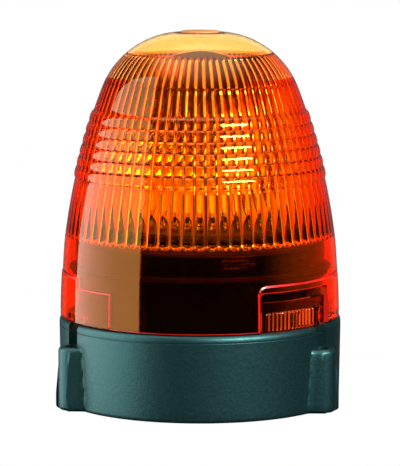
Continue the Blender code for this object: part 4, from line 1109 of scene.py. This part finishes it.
def world_mix(tree, factor, low, high):
    """Low where the factor is 0 and high where it is 1. Each is a socket or a number."""
    node = tree.nodes.new("ShaderNodeMix")
    tree.links.new(factor, node.inputs["Factor"])
    for value, socket in ((low, node.inputs["A"]), (high, node.inputs["B"])):
        if isinstance(value, float):
            socket.default_value = value
        else:
            tree.links.new(value, socket)
    return node.outputs["Result"]


def make_world():
    """A dim studio for gloss, with a bright sweep that shows through clear pieces. The camera sees white."""
    world = bpy.data.worlds.new("studio")
    bpy.context.scene.world = world
    world.use_nodes = True
    tree = world.node_tree
    background = tree.nodes["Background"]
    space = tree.nodes.new("ShaderNodeTexCoord").outputs["Generated"]
    split = tree.nodes.new("ShaderNodeSeparateXYZ")
    tree.links.new(space, split.inputs["Vector"])
    behind, above = split.outputs["Y"], split.outputs["Z"]
    sweep = world_share(tree, behind, (-0.6, 0.1), 0.03, 1.9)
    table = world_share(tree, above, (-0.95, -0.55), 0.15, 1.0)
    overhead = world_share(tree, above, (0.25, 0.7), 0.0, 1.6)
    through = combine(tree, "MULTIPLY", combine(tree, "MAXIMUM", sweep, overhead), table)
    rear_glow = world_share(tree, behind, (0.7, 1.0), 0.015, 0.12)
    ceiling = world_share(tree, above, (0.75, 1.0), 0.0, 2.5)
    gloss = combine(tree, "ADD", rear_glow, ceiling)
    path = tree.nodes.new("ShaderNodeLightPath")
    seen = world_mix(tree, path.outputs["Is Transmission Ray"], gloss, through)
    seen = world_mix(tree, path.outputs["Is Camera Ray"], seen, 1.0)
    background.inputs["Color"].default_value = (1, 1, 1, 1)
    tree.links.new(seen, background.inputs["Strength"])


def softbox(name, place, target, size, radiance, in_gloss=True):
    """A rectangular light of that radiance. The camera doesn't see the box itself."""
    light = bpy.data.lights.new(name, "AREA")
    light.shape = "RECTANGLE"
    light.size, light.size_y = size
    light.energy = math.pi * radiance * size[0] * size[1]
    made = bpy.data.objects.new(name, light)
    made.location = place
    made.rotation_euler = (Vector(target) - Vector(place)).to_track_quat("-Z", "Y").to_euler()
    made.visible_camera = False
    made.visible_glossy = made.visible_transmission = in_gloss
    bpy.context.scene.collection.objects.link(made)


LAMP_FRONT_X = -0.30
LAMP_FRONT = [(-0.30, -0.08), (-0.30, 0.26), (-0.12, 0.52), (0.04, 0.33), (0.12, 0.15), (0.12, -0.08)]  # y, z


def gabled_softbox():
    """A tall lamp front on the left whose top rises to a peak. Only reflections show it."""
    shape = bmesh.new()
    shape.faces.new([shape.verts.new((LAMP_FRONT_X, y, z)) for y, z in LAMP_FRONT])
    mesh = bpy.data.meshes.new("left_softbox")
    shape.to_mesh(mesh)
    shape.free()
    made, tree, shader = new_material("lamp_front")
    glow = tree.nodes.new("ShaderNodeEmission")
    cloth = noise(tree, object_space(tree), 8.0, 1.0)
    tree.links.new(spread(tree, cloth, 2.9, 3.5), glow.inputs["Strength"])
    tree.links.new(glow.outputs["Emission"], tree.nodes["Material Output"].inputs["Surface"])
    mesh.materials.append(made)
    front = bpy.data.objects.new("left_softbox", mesh)
    front.visible_camera = False
    bpy.context.scene.collection.objects.link(front)


AIM = (0, 0, 0.09)


def make_lights():
    gabled_softbox()
    softbox("right_softbox", at(0.91, 39.0, 0.53), AIM, (0.50, 0.18), radiance=60.0)
    softbox("top_softbox", (0.1, 0.5, 1.1), AIM, (0.8, 0.6), radiance=3.0, in_gloss=False)


CAMERA_AZIMUTH = 2.5
CAMERA_PITCH = 7.0
CAMERA_DISTANCE = 1.2512
LOOK_AT_Z = 0.0865
SENSOR_MM = 24.0
FOCAL_MM = 140.0858
FRAME_LIFT = -0.044635


def make_camera():
    """A long lens, a little above the beacon and a little to its right."""
    data = bpy.data.cameras.new("camera")
    camera = bpy.data.objects.new("camera", data)
    bpy.context.scene.collection.objects.link(camera)
    turn, rise = math.radians(CAMERA_AZIMUTH), math.radians(CAMERA_PITCH)
    target = Vector((0, 0, LOOK_AT_Z))
    away = Vector((math.sin(turn) * math.cos(rise), -math.cos(turn) * math.cos(rise), math.sin(rise)))
    camera.location = target + CAMERA_DISTANCE * away
    camera.rotation_euler = (-away).to_track_quat("-Z", "Y").to_euler()
    data.sensor_fit = "VERTICAL"
    data.sensor_height = SENSOR_MM
    data.lens = FOCAL_MM
    data.shift_y = FRAME_LIFT
    data.clip_end = 20.0
    bpy.context.scene.camera = camera


make_camera()
make_stage()
make_world()
make_lights()
make_housing()
make_lens()
make_latch()
make_reflector()
make_rotor_table()
make_lamp_glass()
make_filament()
make_lamp_cap()

bpy.context.scene.view_settings.view_transform = "Standard"
